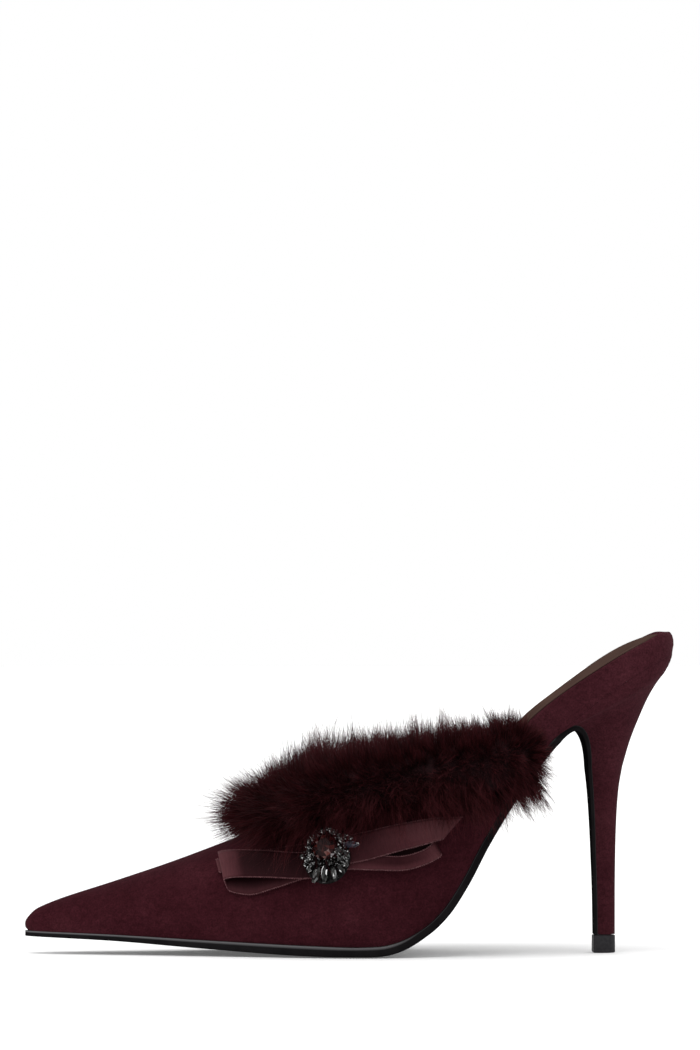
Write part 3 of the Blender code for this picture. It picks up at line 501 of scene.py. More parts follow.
def mixed(material, factor, first, second, blend="MIX"):
    """Two colours mixed, or multiplied. The node's sockets 6 and 7 are its colours."""
    if not isinstance(second, bpy.types.NodeSocket):
        second = (*second, 1)
    values = {0: factor, 6: first, 7: second}
    return add_node(material, "ShaderNodeMix", values, data_type="RGBA", blend_type=blend).outputs[2]


def bumped(material, *layers):
    """Bump layers from coarse to fine, each a height, its depth in metres and its strength."""
    normal = None
    for heights, depth, strength in layers:
        values = {"Height": heights, "Distance": depth, "Strength": strength}
        if normal:
            values["Normal"] = normal
        normal = add_node(material, "ShaderNodeBump", values).outputs["Normal"]
    feed(material, "Normal", normal)


def speckled(name, grain, dark, pale, bump=None, **sockets):
    """A plain material whose noise, given by scale, detail and roughness, runs from dark to pale."""
    material = new_material(name, **sockets)
    specks = noise(material, *grain)
    coloured(material, specks, dark, pale)
    if bump:
        bumped(material, (specks, *bump))
    return material


# %% [markdown]
# ## Suede
#
# Suede is leather with its nap brushed up. Where the nap lies one way it looks lighter, and where it lies the other
# way darker, so the colour drifts in soft clouds with short strokes in them. Sheen on the shader gives the pale
# bloom that the nap has at its edges.


# %% Suede material
def suede_material(name, deep, middle, pale):
    """Wine suede: three cloud sizes of nap, from a hand's stroke down to the single tufts."""
    material = new_material(
        name,
        Roughness=0.95,
        Specular_IOR_Level=0.02,
        Sheen_Weight=0.025,
        Sheen_Roughness=0.5,
        Sheen_Tint=(0.70, 0.26, 0.34, 1),
    )
    clouds = noise(material, 48, 4, 0.60)
    strokes = noise(material, 520, 5, 0.66, (0.85, 1.0, 1.15))
    tufts = noise(material, 1700, 3, 0.65)
    tone = ramp(material, clouds, (0.28, deep), (0.52, middle), (0.78, pale))
    strokes_tone = ramp(material, strokes, (0.34, (0.70, 0.66, 0.66)), (0.66, (1.28, 1.30, 1.30)))
    tone = mixed(material, 0.6, tone, strokes_tone, "MULTIPLY")
    tufts_tone = ramp(material, tufts, (0.32, (0.58, 0.56, 0.56)), (0.70, (1.42, 1.46, 1.46)))
    tone = mixed(material, 0.8, tone, tufts_tone, "MULTIPLY")
    feed(material, "Base Color", tone)
    bumped(material, (strokes, 0.00025, 0.35), (tufts, 0.00012, 0.5))
    return material


suede = suede_material(
    "wine_suede", (0.0190, 0.0034, 0.0052), (0.0265, 0.0052, 0.0078), (0.0380, 0.0086, 0.0120)
)
# Painted light: a paler copy of the same suede, for the heel and the footbed, which look lighter than the vamp.
lit_heel_suede = suede_material(
    "wine_suede_heel_painted_lighter", (0.0265, 0.0058, 0.0085), (0.0350, 0.0084, 0.0118), (0.0470, 0.0125, 0.0168)
)
print("suede ready")

# %% [markdown]
# ## The upper
#
# The upper is one wall of suede, pulled over the last from its lower edge to the ridge in front of the throat, and to
# the collar behind it. It is a sheet over two parameters, the place along the shoe and how far up the side, with a
# wall's thickness turned inwards.

# %% Make the upper
NOSE_SHARE, NOSE_ROUND = 0.022, 1.3 * MM
THIN_FROM, THIN_RUN, THINNEST = 1.5 * MM, 9 * MM, 0.03
UPPER_SEAM = 0.05 * MM
front_part = THROAT_ALONG * np.linspace(0, 1, 70) ** 1.8
wing_part = THROAT_ALONG + (WING_END_ALONG - THROAT_ALONG) * np.linspace(0, 1, 72)[1:] ** 1.4
upper_alongs = np.concatenate((front_part, wing_part))
upper_ups = np.concatenate((np.linspace(0, BELLY_SHARE, 9)[:-1], np.linspace(BELLY_SHARE, 1, 34)))


def upper_side(side):
    """One side of the upper. At the very tip it is drawn back over and under its middle, for a round nose."""
    points = on_last(upper_alongs[:, None], side, upper_ups[None, :])
    tip = np.clip(1 - upper_alongs / NOSE_SHARE, 0, 1)[:, None] ** 2
    risen = points[..., 2] - points[:, :1, 2]
    middle = risen / np.maximum(risen[:, -1:], 1e-6) * 2 - 1
    points[..., 0] += tip * np.abs(middle) ** 2.5 * NOSE_ROUND
    points[:, 0, 2] += UPPER_SEAM
    return points if side == OUTER else points[:, ::-1]


upper = sheet("suede_upper", [upper_side(OUTER), upper_side(INNER)], suede)
cleaned(upper.data, False)
from_tip = corners_of(upper.data)[:, 0] - TOE_X
levels = np.clip((from_tip - THIN_FROM) / THIN_RUN, 0, 1)
thinned = upper.vertex_groups.new(name="thinned")
for level in np.unique(levels[levels > 0]):
    thinned.add(np.flatnonzero(levels == level).tolist(), float(level), "REPLACE")
wall = walled(upper, UPPER_WALL)
wall.vertex_group = "thinned"
wall.thickness_vertex_group = THINNEST
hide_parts("upper")
print("upper faces:", len(upper.data.polygons))

# %% [markdown]
# ## The footbed
#
# A board and its padding are wrapped in the same suede. Its side wall is low under the vamp, where it is hidden, and
# grows to more than a centimetre round the seat, where the foot's heel sits in a shallow cup.


# %% The footbed's form
FLUSH_RUN = 3 * MM
INNER_DROP = 1.5 * MM
SEAT_CORNER = 1.1 * MM
SEAT_BULGE = 0.7 * MM
CREASE, CREASE_SHARE = 0.35 * MM, 0.10
BED_SEAM = 0.04 * MM
RIM_FROM = 0.85


def bed_inset(x, z):
    """How far the side lies inside the last's edge: within the upper's wall, and flush behind it."""
    lean = np.radians(wall_lean(WING_END_ALONG))
    behind = (x - x_at(WING_END_ALONG)) + (z - feather_z(WING_END_ALONG)) * np.tan(lean)
    return (UPPER_WALL + 2 * FIT_GAP) * (1 - smooth_step((behind - FIT_GAP) / FLUSH_RUN))


def bed_point(along, across, risen):
    """A point of the footbed: across runs from -1 at its outer edge to 1 at its inner edge."""
    along, across, risen = np.broadcast_arrays(along, across, risen)
    lean = np.radians(bed_tilt(along))
    x, z = x_at(along) - np.sin(lean) * risen, feather_z(along) + np.cos(lean) * risen
    edge = feather_y(along, np.where(across > 0, INNER, OUTER), bed_inset(x, z))
    middle = ridge(along) * BALL_WIDTH
    return np.stack((x, middle + np.abs(across) * (edge - middle), z), -1)


def bed_wall(along):
    return bed_wall_share(along) * SEAT_WALL


def bed_top(along, across):
    """Height of the upper face: the wall's height less a cup, which is a cosine from rim to rim."""
    dip = np.maximum(np.cos(np.pi / 2 * across), 0) ** 1.2
    return bed_wall(along) - bed_cup_share(along) * SEAT_CUP * dip


def inner_drop(along, across):
    """How much lower the bed lies towards its inner rim, where it is up on the shank."""
    share = smooth_step((along - 0.62) / 0.12) * (1 - smooth_step((along - 0.84) / 0.12))
    return INNER_DROP * share * np.clip(across, 0, 1) ** 1.5


def at_back(along):
    """From 0 where the seat's outline starts to close to 1 at its back."""
    return np.clip((along - SEAT_ROUND_SHARE) / (1 - SEAT_ROUND_SHARE), 0, 1) ** 3


def bed_rings(alongs):
    """Closed sections: up the outer wall, round its rim, across the cup and down the inner wall. Round the back of
    the seat the wall bulges a little, and its top corner is drawn in."""
    along = alongs[:, None]
    wall, back = bed_wall(along), at_back(along)
    rim = 1 - np.minimum(RIM_ROUND / np.maximum(half_width(along, OUTER), 1e-4), 0.5)
    climb = np.array([0.0, 0.04, 0.10, 0.25, 0.5, 0.75, 1.0])[None, :]
    tuck = CREASE * (1 - np.minimum(climb / CREASE_SHARE, 1)) ** 2
    low = BED_SEAM + (wall * RIM_FROM - BED_SEAM) * climb
    drop = inner_drop(along, 1.0)
    outer, inner = bed_point(along, -1.0, low), bed_point(along, 1.0, low - drop * climb)
    outer[..., 1] += tuck
    inner[..., 1] -= tuck
    turn = np.linspace(0, np.pi / 2, 7)[None, 1:]
    over = 1 - (1 - rim) * (1 - np.cos(turn))
    lift = wall * RIM_FROM + (bed_top(along, rim) - wall * RIM_FROM) * np.sin(turn)
    cup = rim * np.linspace(-1, 1, 35)[None, 1:-1]
    bulge = SEAT_BULGE * np.sin(np.pi * climb * 0.8) ** 2 * back
    corner = -SEAT_CORNER * (1 - np.cos(turn)) * back
    parts = [
        outer,
        bed_point(along, -over, lift),
        bed_point(along, cup, bed_top(along, cup) - inner_drop(along, cup)),
        bed_point(along, over[:, ::-1], lift[:, ::-1] - drop),
        inner[:, ::-1],
    ]
    shifts = (bulge, corner, -SEAT_CORNER * back, corner[:, ::-1], bulge[:, ::-1])
    for part, shift in zip(parts, shifts):
        part[..., 0] += shift
    return np.concatenate(parts + [bed_point(along, np.array([[0.6, 0.0, -0.6]]), BED_SEAM)], 1)


bed_alongs = np.concatenate(
    (
        0.035 + 0.465 * np.linspace(0, 1, 24) ** 1.25,
        np.linspace(0.5, 0.9, 64)[1:],
        SEAT_ROUND_SHARE + 0.0999 * np.sin(np.linspace(0, np.pi / 2, 30))[1:],
    )
)
footbed = loft("suede_footbed", bed_rings(bed_alongs), lit_heel_suede)
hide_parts("footbed")
print("footbed faces:", len(footbed.data.polygons))

# %% [markdown]
# ## The sock
#
# The sock is the thin brown lining sheet that the foot stands on. It lies in the cup with a small margin of suede
# round it. Its place for a printed name is left bare.

# %% Make the sock
SOCK_LIFT = 0.12 * MM
SOCK_SHOWN = 0.8 * MM
SOCK_EDGE = 0.6 * MM


def sock_rings(alongs):
    """Closed sections of the sheet: its upper face from rim to rim, rounded at its edges, and its underside."""
    along = alongs[:, None]
    wide = np.maximum(half_width(along, OUTER), 1e-4)
    top = bed_point(along, 0.0, bed_wall(along))
    hidden = bed_inset(top[..., 0], top[..., 2])
    into_seat = np.maximum(along - SEAT_ROUND_SHARE, 0) / (SOCK_END_ALONG - SEAT_ROUND_SHARE)
    into_toe = np.maximum(1 - (along - SOCK_START_ALONG) / SOCK_TOE_ROUND, 0)
    ends = np.sqrt(np.maximum(1 - np.maximum(into_seat, into_toe) ** 2, 0))
    reach = np.maximum(ends / np.maximum(seat_round(along), 0.01) - (SOCK_INSET + hidden) / wide, 0.05)
    over = np.linspace(-1, 1, 61)[None, :]
    edge = np.minimum((1 - np.abs(over)) * reach * wide / SOCK_EDGE, 1)
    puff = SOCK_SHOWN * (0.35 + 0.65 * np.sqrt(edge * (2 - edge)))

    def face(across, thick):
        rest_on = bed_top(along, across) - inner_drop(along, across) + SOCK_LIFT
        return bed_point(along, across, rest_on + thick)

    rings = np.concatenate((face(reach * over, puff), face(reach * np.linspace(1, -1, 13)[None, :], 0)), 1)
    rings[..., 0] -= SEAT_CORNER * at_back(along)
    return rings


sock_alongs = np.concatenate(
    (
        SOCK_START_ALONG + SOCK_TOE_ROUND * (1 - np.cos(np.linspace(0, np.pi / 2, 8))),
        np.linspace(SOCK_START_ALONG + SOCK_TOE_ROUND, SEAT_ROUND_SHARE, 90)[1:],
        SEAT_ROUND_SHARE
        + (SOCK_END_ALONG - SEAT_ROUND_SHARE) * np.sin(np.linspace(0, np.pi / 2, 26))[1:],
    )
)
sock_leather = new_material("sock_leather", Roughness=0.7, Specular_IOR_Level=0.0)
patches = noise(sock_leather, 60, 3, 0.5)
coloured(sock_leather, patches, (0.3, (0.044, 0.026, 0.021)), (0.7, (0.062, 0.037, 0.030)))
bumped(sock_leather, (noise(sock_leather, 1500, 3, 0.6), 0.0001, 0.35))
sock = loft("lining_sock", sock_rings(sock_alongs), sock_leather)
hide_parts("sock")
print("sock faces:", len(sock.data.polygons))

# %% [markdown]
# ## The heel
#
# A hard plastic core is covered with suede. From the small tip it widens slowly, then flares into a head that takes
# the seat. Its front is a flat face, which the sole's flap covers.

# %% The heel's form
stem_front, stem_back, stem_half = (plain_curve(STEM, n) for n in ("front", "back", "half"))
head_back_z, head_back_x, head_half, head_front = (
    plain_curve(HEAD, n) for n in ("back_z", "back_x", "half", "front")
)
STEM_TOP = STEM["height"][-1] * HEEL_RISE
WIDEST = 0.42
STEM_FRONT = 0.86
TIP_FRONT = 0.9
TURN_IN, TURN_OUT = 0.45, 1.45
SEATED_SHARE = 0.16
heel_shares = np.concatenate(
    (
        np.linspace(0, WIDEST, 9)[:-1],
        WIDEST + (1 - WIDEST) * np.sin(np.linspace(0, np.pi / 2, 17)),
    )
)
ring_shares = np.concatenate((heel_shares, heel_shares[-2::-1]))
ring_sides = np.concatenate((np.full(len(heel_shares), OUTER), np.full(len(heel_shares) - 1, INNER)))


def turn_point(share):
    """Bezier curve from the shank, where share is 0, down into the heel's front, where it is 1."""
    share = np.asarray(share, float)[..., None]
    start = np.array((x_at(TURN_ALONG), feather_z(TURN_ALONG)))
    before = np.array((x_at(TURN_ALONG - 0.01), feather_z(TURN_ALONG - 0.01)))
    heading = unit(start - before)
    end = np.array((stem_front(STEM["height"][-1]) * TIP_LENGTH / 2, STEM_TOP))
    run = end[0] - start[0]
    bend_in, bend_out = start + heading * run * TURN_IN, end + np.array((0.0, TURN_OUT)) * run
    rest = 1 - share
    curved = start * rest**3 + 3 * bend_in * rest**2 * share
    return curved + 3 * bend_out * rest * share**2 + end * share**3


def heel_rings(front, back, half_wide, front_share):
    """Sections from front to back: a sine that widens, then a quarter ellipse that closes the back."""
    share, side = ring_shares[None, :], ring_sides[None, :]
    widening = front_share[:, None] + (1 - front_share[:, None]) * np.sin(
        np.pi / 2 * np.minimum(share / WIDEST, 1)
    )
    closing = np.sqrt(np.maximum(1 - (np.maximum(share - WIDEST, 0) / (1 - WIDEST)) ** 2, 0))
    middle = front[:, None] + (back - front)[:, None] * share[..., None]
    wide = side * half_wide[:, None] * widening * closing
    return np.stack((middle[..., 0], wide, middle[..., 1]), -1)


stem_heights = np.linspace(TIP_HEIGHT + FIT_GAP, STEM_TOP, 34)
shares_of_rise = stem_heights / HEEL_RISE
stem_rings = heel_rings(
    np.stack((stem_front(shares_of_rise) * TIP_LENGTH / 2, stem_heights), -1),
    np.stack((stem_back(shares_of_rise) * TIP_LENGTH / 2, stem_heights), -1),
    stem_half(shares_of_rise) * TIP_HALF_WIDTH,
    np.full(len(stem_heights), STEM_FRONT),
)
turns = np.linspace(1, 0, 40)[1:]
head_rings = heel_rings(
    turn_point(turns),
    np.stack((head_back_x(turns) * HEEL_SETBACK, head_back_z(turns) * HEEL_RISE), -1),
    head_half(turns) * BALL_WIDTH,
    head_front(turns),
)
seat_along = TURN_ALONG + (1 - TURN_ALONG) * ring_shares
seat_ring = np.stack(
    (x_at(seat_along), feather_y(seat_along, ring_sides, FIT_GAP), feather_z(seat_along)), -1
)
near_seat = smooth_step(1 - turns / SEATED_SHARE)[:, None, None]
head_rings = head_rings + (seat_ring - head_rings) * near_seat
heel = loft("suede_heel", np.concatenate((stem_rings, head_rings)), lit_heel_suede)
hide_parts("heel")
print("heel faces:", len(heel.data.polygons))

# %% Make the heel tip
TIP_CHAMFER, TIP_SHOULDER = 0.12 * MM, 0.3 * MM
tip_profile = np.array(
    [
        (0, TIP_BEVEL),
        (TIP_CHAMFER, TIP_CHAMFER),
        (TIP_BEVEL, 0),
        (TIP_HEIGHT - TIP_SHOULDER, 0),
        (TIP_HEIGHT, TIP_SHOULDER),
    ]
)
tip_heights, tip_insets = tip_profile.T
tip_half = TIP_LENGTH / 2 - tip_insets
tip_rings = heel_rings(
    np.stack((-tip_half, tip_heights), -1),
    np.stack((tip_half, tip_heights), -1),
    TIP_HALF_WIDTH - tip_insets,
    np.full(len(tip_profile), TIP_FRONT),
)
tip_rubber = speckled(
    "tip_rubber",
    (900, 4, 0.6),
    (0.3, (0.014, 0.013, 0.015)),
    (0.7, (0.024, 0.023, 0.025)),
    (0.0001, 0.3),
    Roughness=0.6,
    Specular_IOR_Level=0.10,
)
heel_tip = loft("rubber_tip", tip_rings, tip_rubber)
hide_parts("heel_tip")
print("tip faces:", len(heel_tip.data.polygons))

# %% [markdown]
# ## The outsole
#
# The sole is a thin sheet of black leather: flat under the ball, lifted at the toe, up the shank and then over into
# the front of the heel as a flap. It is a profile carried along that path, with a fine rolled edge. A pale line
# painted along its upper edges is a painted highlight, for the light that the rolled edge catches.

# %% Make the outsole
SOLE_START = 0.0006
SOLE_SEAM = 0.03 * MM
EDGE_INSET = 0.985
ROLL_FROM = 0.4
# The painted highlight on the sole's edge: full ahead of this x, fading over this run, and this faint behind.
PAINTED_LINE_FULL_X, PAINTED_LINE_FADE, PAINTED_LINE_FAINT = -70 * MM, 10 * MM, 0.55
sole_thick, sole_lift = rooted_curve(SOLE, "thick"), rooted_curve(SOLE, "lift")


def sole_path():
    """Upper face of the sole in side view with the edges' places, the thickness and the edge's lift there."""
    alongs = TURN_ALONG * np.concatenate(
        (0.5 * np.linspace(0, 1, 50) ** 1.7, np.linspace(0.5, 1, 80)[1:])
    )
    alongs[0] = SOLE_START
    flat = np.stack((x_at(alongs), feather_z(alongs)), -1)
    turn = np.linspace(0, 1, 41)[1:]
    turned = head_half(turn) * head_front(turn) * BALL_WIDTH
    heights = np.linspace(STEM_TOP, TIP_HEIGHT + FIT_GAP, 30)[1:]
    down = np.stack((stem_front(heights / HEEL_RISE) * TIP_LENGTH / 2, heights), -1)
    narrow = stem_half(heights / HEEL_RISE) * TIP_HALF_WIDTH * STEM_FRONT
    thick = sole_thick(alongs) * SOLE_THICKNESS
    flap = thick[-1] + (FLAP_THICKNESS - thick[-1]) * turn
    points = np.vstack((flat, turn_point(turn), down))
    outer = np.concatenate((feather_y(alongs, OUTER), -turned, -narrow))
    inner = np.concatenate((feather_y(alongs, INNER), turned, narrow))
    thick = np.concatenate((thick, flap, np.full(len(heights), FLAP_THICKNESS)))
    lift = np.concatenate((sole_lift(alongs) * SOLE_EDGE_LIFT, np.zeros(len(turn) + len(heights))))
    return points, outer, inner, thick, lift


path, outer_edge, inner_edge, thick, lift = sole_path()
heading = unit(np.gradient(path, axis=0))
down = np.stack((heading[:, 1], -heading[:, 0]), -1)
down[-1] = (-1.0, 0.0)
top = path + down * SOLE_SEAM


def sole_y(across):
    """Sideways places at shares from -1 at the outer edge to 1 at the inner edge."""
    middle = (outer_edge + inner_edge)[:, None] / 2
    edge = np.where(across > 0, inner_edge[:, None], outer_edge[:, None])
    return middle + np.abs(across) * (edge - middle)


on_floor = np.where(down[:, 1] < -0.9, top[:, 1] / np.maximum(-down[:, 1], 1e-3), thick * 2)
across = np.concatenate(([1] * 3, np.linspace(EDGE_INSET, -EDGE_INSET, 33), [-1] * 3))[None, :]
rolled = (np.maximum(np.abs(across) - ROLL_FROM, 0) / (1 - ROLL_FROM)) ** 2
share_down = np.ones_like(across)
share_down[0, :3] = (0.10, 0.55, 0.82)
share_down[0, -3:] = share_down[0, 2::-1]
under = (np.minimum(thick, on_floor)[:, None] - lift[:, None] * rolled) * share_down
under_points = top[:, None] + down[:, None] * under[..., None]
under_rings = np.stack((under_points[..., 0], sole_y(across), under_points[..., 1]), -1)
top_y = sole_y(np.array([-0.988, -0.5, 0.0, 0.5, 0.988])[None, :])
top_rings = np.stack(np.broadcast_arrays(top[:, :1], top_y, top[:, 1:]), -1)

sole_leather = new_material("sole_leather", Roughness=0.6, Specular_IOR_Level=0.0)
wear = noise(sole_leather, 90, 4, 0.6)
black = ramp(sole_leather, wear, (0.3, (0.0055, 0.0050, 0.0054)), (0.75, (0.0100, 0.0092, 0.0098)))
# Painted highlight: points marked rim, on the sole's upper edges, are mixed towards pale grey.
line = grey_ramp(sole_leather, attribute(sole_leather, "rim"), (0.45, 0), (1.0, 0.9))
feed(sole_leather, "Base Color", mixed(sole_leather, line, black, (0.105, 0.103, 0.106)))
bumped(sole_leather, (wear, 0.0004, 0.15), (noise(sole_leather, 1400, 3, 0.6), 0.00008, 0.3))
outsole = loft("leather_outsole", np.concatenate((top_rings, under_rings), 1), sole_leather)


def place_keys(points):
    """One whole number for each point, the same for points at the same hundredth of a millimetre."""
    x, y, z = np.round(points * 1e5).astype(np.int64).T
    return (x * 2**20 + y) * 2**20 + z


corners = corners_of(outsole.data)
edge_line = np.vstack([rings[:, (0, -1)].reshape(-1, 3) for rings in (top_rings, under_rings)])
# The rim value is the painted highlight's strength: full towards the toe, fainter behind.
painted_line_strength = PAINTED_LINE_FAINT + (1 - PAINTED_LINE_FAINT) * np.clip((PAINTED_LINE_FULL_X - corners[:, 0]) / PAINTED_LINE_FADE, 0, 1)
store(outsole.data, "rim", "POINT", np.isin(place_keys(corners), place_keys(edge_line)) * painted_line_strength)
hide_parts("outsole")
print("outsole faces:", len(outsole.data.polygons))

# %% [markdown]
# ## The fur
#
# Fur round a collar is a strip of skin with a soft dense undercoat and longer guard hairs. Hair here is thin tapered
# strips of mesh, because strands made by a hair system would be lost in an export. A dark core carries them, so that
# no suede shows between; its darkness is painted shade, for the dense fur deep between the hairs. Each hair is
# painted with shade at its root and light at its tip. Hairs that stand together lean together, which makes the locks.

# %% The path of the band
FUR_DEPTH = 10 * MM
FUR_IN = 6.8 * MM
FUR_REACH = 9.5 * MM
FUR_SHIFT_OUT = 2.2 * MM
FULLNESS = 0.34
END_ROUND, END_LEAST = 10 * MM, 0.35
CORE_SHARE = 0.62
FUR = table("""
    behind   up down  out
      0.00 0.95 1.15 1.00
      0.04 1.90 1.60 1.20
     0.085 2.75 2.40 1.40
      0.16 2.55 2.95 1.38
      0.30 2.12 2.50 1.20
      0.60 1.60 1.95 1.05
      1.00 1.20 1.90 1.05
""")
fur_up, fur_down, fur_out = (plain_curve(FUR, n) for n in ("up", "down", "out"))
FRAMES = 153


def collar_frames():
    """Even steps along the collar from the outer wing round the throat to the inner wing, and past both ends. Each
    has a point, the ways out of the upper, up off its edge and along it, the share behind the throat and the
    distance to the nearer end."""
    halves = []
    for side in (OUTER, INNER):
        share = np.linspace(0, 1, 61) ** 1.6
        along = THROAT_ALONG + (WING_END_ALONG - THROAT_ALONG) * share
        outs = off_last(along, side, np.full(61, 0.999))
        line = np.column_stack((on_last(along, side, 1.0), outs, share))
        reach = line[-1, :3] - line[-6, :3]
        reach[2] = 0
        beyond = np.repeat(line[-1:], 8, 0)
        beyond[:, :3] += unit(reach) * np.linspace(0, FUR_REACH, 9)[1:, None]
        halves.append(np.vstack((line, beyond)))
    fine = np.vstack((halves[0][:0:-1], halves[1]))
    lengths = run_along(fine[:, :3])
    places = np.linspace(0, lengths[-1], FRAMES)
    even = resampled(places, lengths, fine)
    for _ in range(32):
        even[1:-1] = (even[:-2] + 2 * even[1:-1] + even[2:]) / 4
    points, outs = even[:, :3], even[:, 3:6]
    runs = unit(np.gradient(points, axis=0))
    ups = unit(np.cross(runs, outs))
    return points, np.cross(ups, runs), ups, runs, even[:, 6], np.minimum(places, places[::-1])


band = collar_frames()
print("band length:", round(2 * band[5].max() * 1000), "mm")


def band_at(place):
    """The band's frame at places from 0 at the outer wing's end to 1 at the inner wing's."""
    at = np.clip(place, 0, 1) * (FRAMES - 1)
    row = np.minimum(at.astype(int), FRAMES - 2)
    share = at - row
    return [
        part[row] + (part[row + 1] - part[row]) * (share[..., None] if part.ndim == 2 else share)
        for part in band
    ]


def fur_skin(place, angle, size=1.0):
    """Where the fur's outside lies: an oval round the band, deeper below than above, narrow inside the shoe, full
    at its lower outer corner, and drawn in to a round end. The second result is the way out there."""
    points, outs, ups, runs, share, to_end = band_at(place)
    sideways, upwards = np.cos(angle), np.sin(angle)
    inside = np.clip(-sideways * 2.5, 0, 1)
    corner = 1 + FULLNESS * np.maximum(-2 * sideways * upwards, 0) * (sideways > 0)
    sideways, upwards = sideways * corner, upwards * corner
    below = fur_down(share) * FUR_DEPTH
    wide = np.where(sideways < 0, FUR_IN, fur_out(share) * FUR_DEPTH)
    tall = np.where(upwards > 0, fur_up(share) * FUR_DEPTH, below + (FUR_IN - below) * inside)
    swell = np.maximum(np.sqrt(1 - (1 - np.minimum(to_end / END_ROUND, 1)) ** 2), END_LEAST)
    way = outs * (sideways * wide * swell)[..., None] + ups * (upwards * tall * swell)[..., None]
    return points + outs * FUR_SHIFT_OUT, way * np.asarray(size)[..., None], runs, to_end


# %% The core of the fur
core_places = np.linspace(0, 1, 120)[:, None]
core_angles = np.linspace(0, 2 * np.pi, 41)[None, :-1]
place_grid, angle_grid = np.broadcast_arrays(core_places, core_angles)
core_middle, core_way, _, _ = fur_skin(place_grid, angle_grid, np.full(place_grid.shape, CORE_SHARE))
# Painted shade: the core is a dark sheet that stands for the dense fur deep between the hairs.
undercoat = speckled(
    "fur_undercoat_painted_shade",
    (700, 4, 0.6),
    (0.3, (0.006, 0.0015, 0.002)),
    (0.7, (0.016, 0.004, 0.005)),
    (0.001, 0.8),
    Roughness=0.9,
    Specular_IOR_Level=0.1,
)
fur_core = loft("fur_core", core_middle + core_way, undercoat)

# %% Hair as tapered strips
rng = np.random.default_rng(11)
LEVELS = np.array([0.0, 0.38, 0.72])


def hair_mesh(name, roots, ways, bends, widths, tones):
    """Each hair is a strip of three widths and a tip. Its points lie at root + way*t + bend*t*t, and it turns its
    flat side any way. Its UV map holds its own tone and the place along it."""
    count = len(roots)
    t = LEVELS[None, :, None]
    spine = roots[:, None] + ways[:, None] * t + bends[:, None] * t**2
    tip = roots + ways + bends
    sideways = unit(np.cross(ways, rng.normal(size=(count, 3))))
    taper = (1 - 0.55 * LEVELS**1.5)[None, :, None]
    offset = sideways[:, None] * (widths[:, None, None] / 2) * taper
    points = np.concatenate(
        (np.stack((spine - offset, spine + offset), 2).reshape(count, -1, 3), tip[:, None]), 1
    )
    one = np.array([(0, 1, 3), (0, 3, 2), (2, 3, 5), (2, 5, 4), (4, 5, 6)])
    faces = (one[None] + (np.arange(count) * 7)[:, None, None]).reshape(-1, 3)
    mesh = bpy.data.meshes.new(name)
    mesh.vertices.add(count * 7)
    mesh.vertices.foreach_set("co", points.astype(np.float32).ravel())
    mesh.loops.add(len(faces) * 3)
    mesh.loops.foreach_set("vertex_index", faces.astype(np.int32).ravel())
    mesh.polygons.add(len(faces))
    mesh.polygons.foreach_set("loop_start", np.arange(0, len(faces) * 3, 3, dtype=np.int32))
    mesh.update(calc_edges=True)
    reach = np.tile(np.append(np.repeat(LEVELS, 2), 1.0), count)
    tone = np.repeat(tones, 7)
    uv = np.stack((tone, reach), -1)[faces.ravel()]
    mesh.uv_layers.new(name="hair").data.foreach_set("uv", uv.astype(np.float32).ravel())
    mesh.shade_smooth()
    return mesh


# %% Comb the hair into locks
FLUFF = 9 * MM
EASED = 9 * MM
LOCKS, LOCKS_ACROSS = 1150, 26
HAIRS, QUICK_HAIRS = 36, 10
WALL_FROM, WALL_TO = np.radians(198), np.radians(258)
LEAN, WAVER, BEND = 0.20, 0.09, 0.17
GUARD_SHARE = 0.16
FAN_RUN, FAN_REACH = 14 * MM, 6.5 * MM


def kept_near(points):
    """Points that would stand further than the fluff out to either side, eased back: the last 9 mm are squeezed by
    the hyperbolic tangent, so that no flat face is left."""
    sideways = points[:, 1]
    high = np.maximum(sideways - (cad_box[1][1] + FLUFF - EASED), 0)
    low = np.maximum(cad_box[0][1] - FLUFF + EASED - sideways, 0)
    points[:, 1] += EASED * np.tanh(high / EASED) - high - EASED * np.tanh(low / EASED) + low
    return points


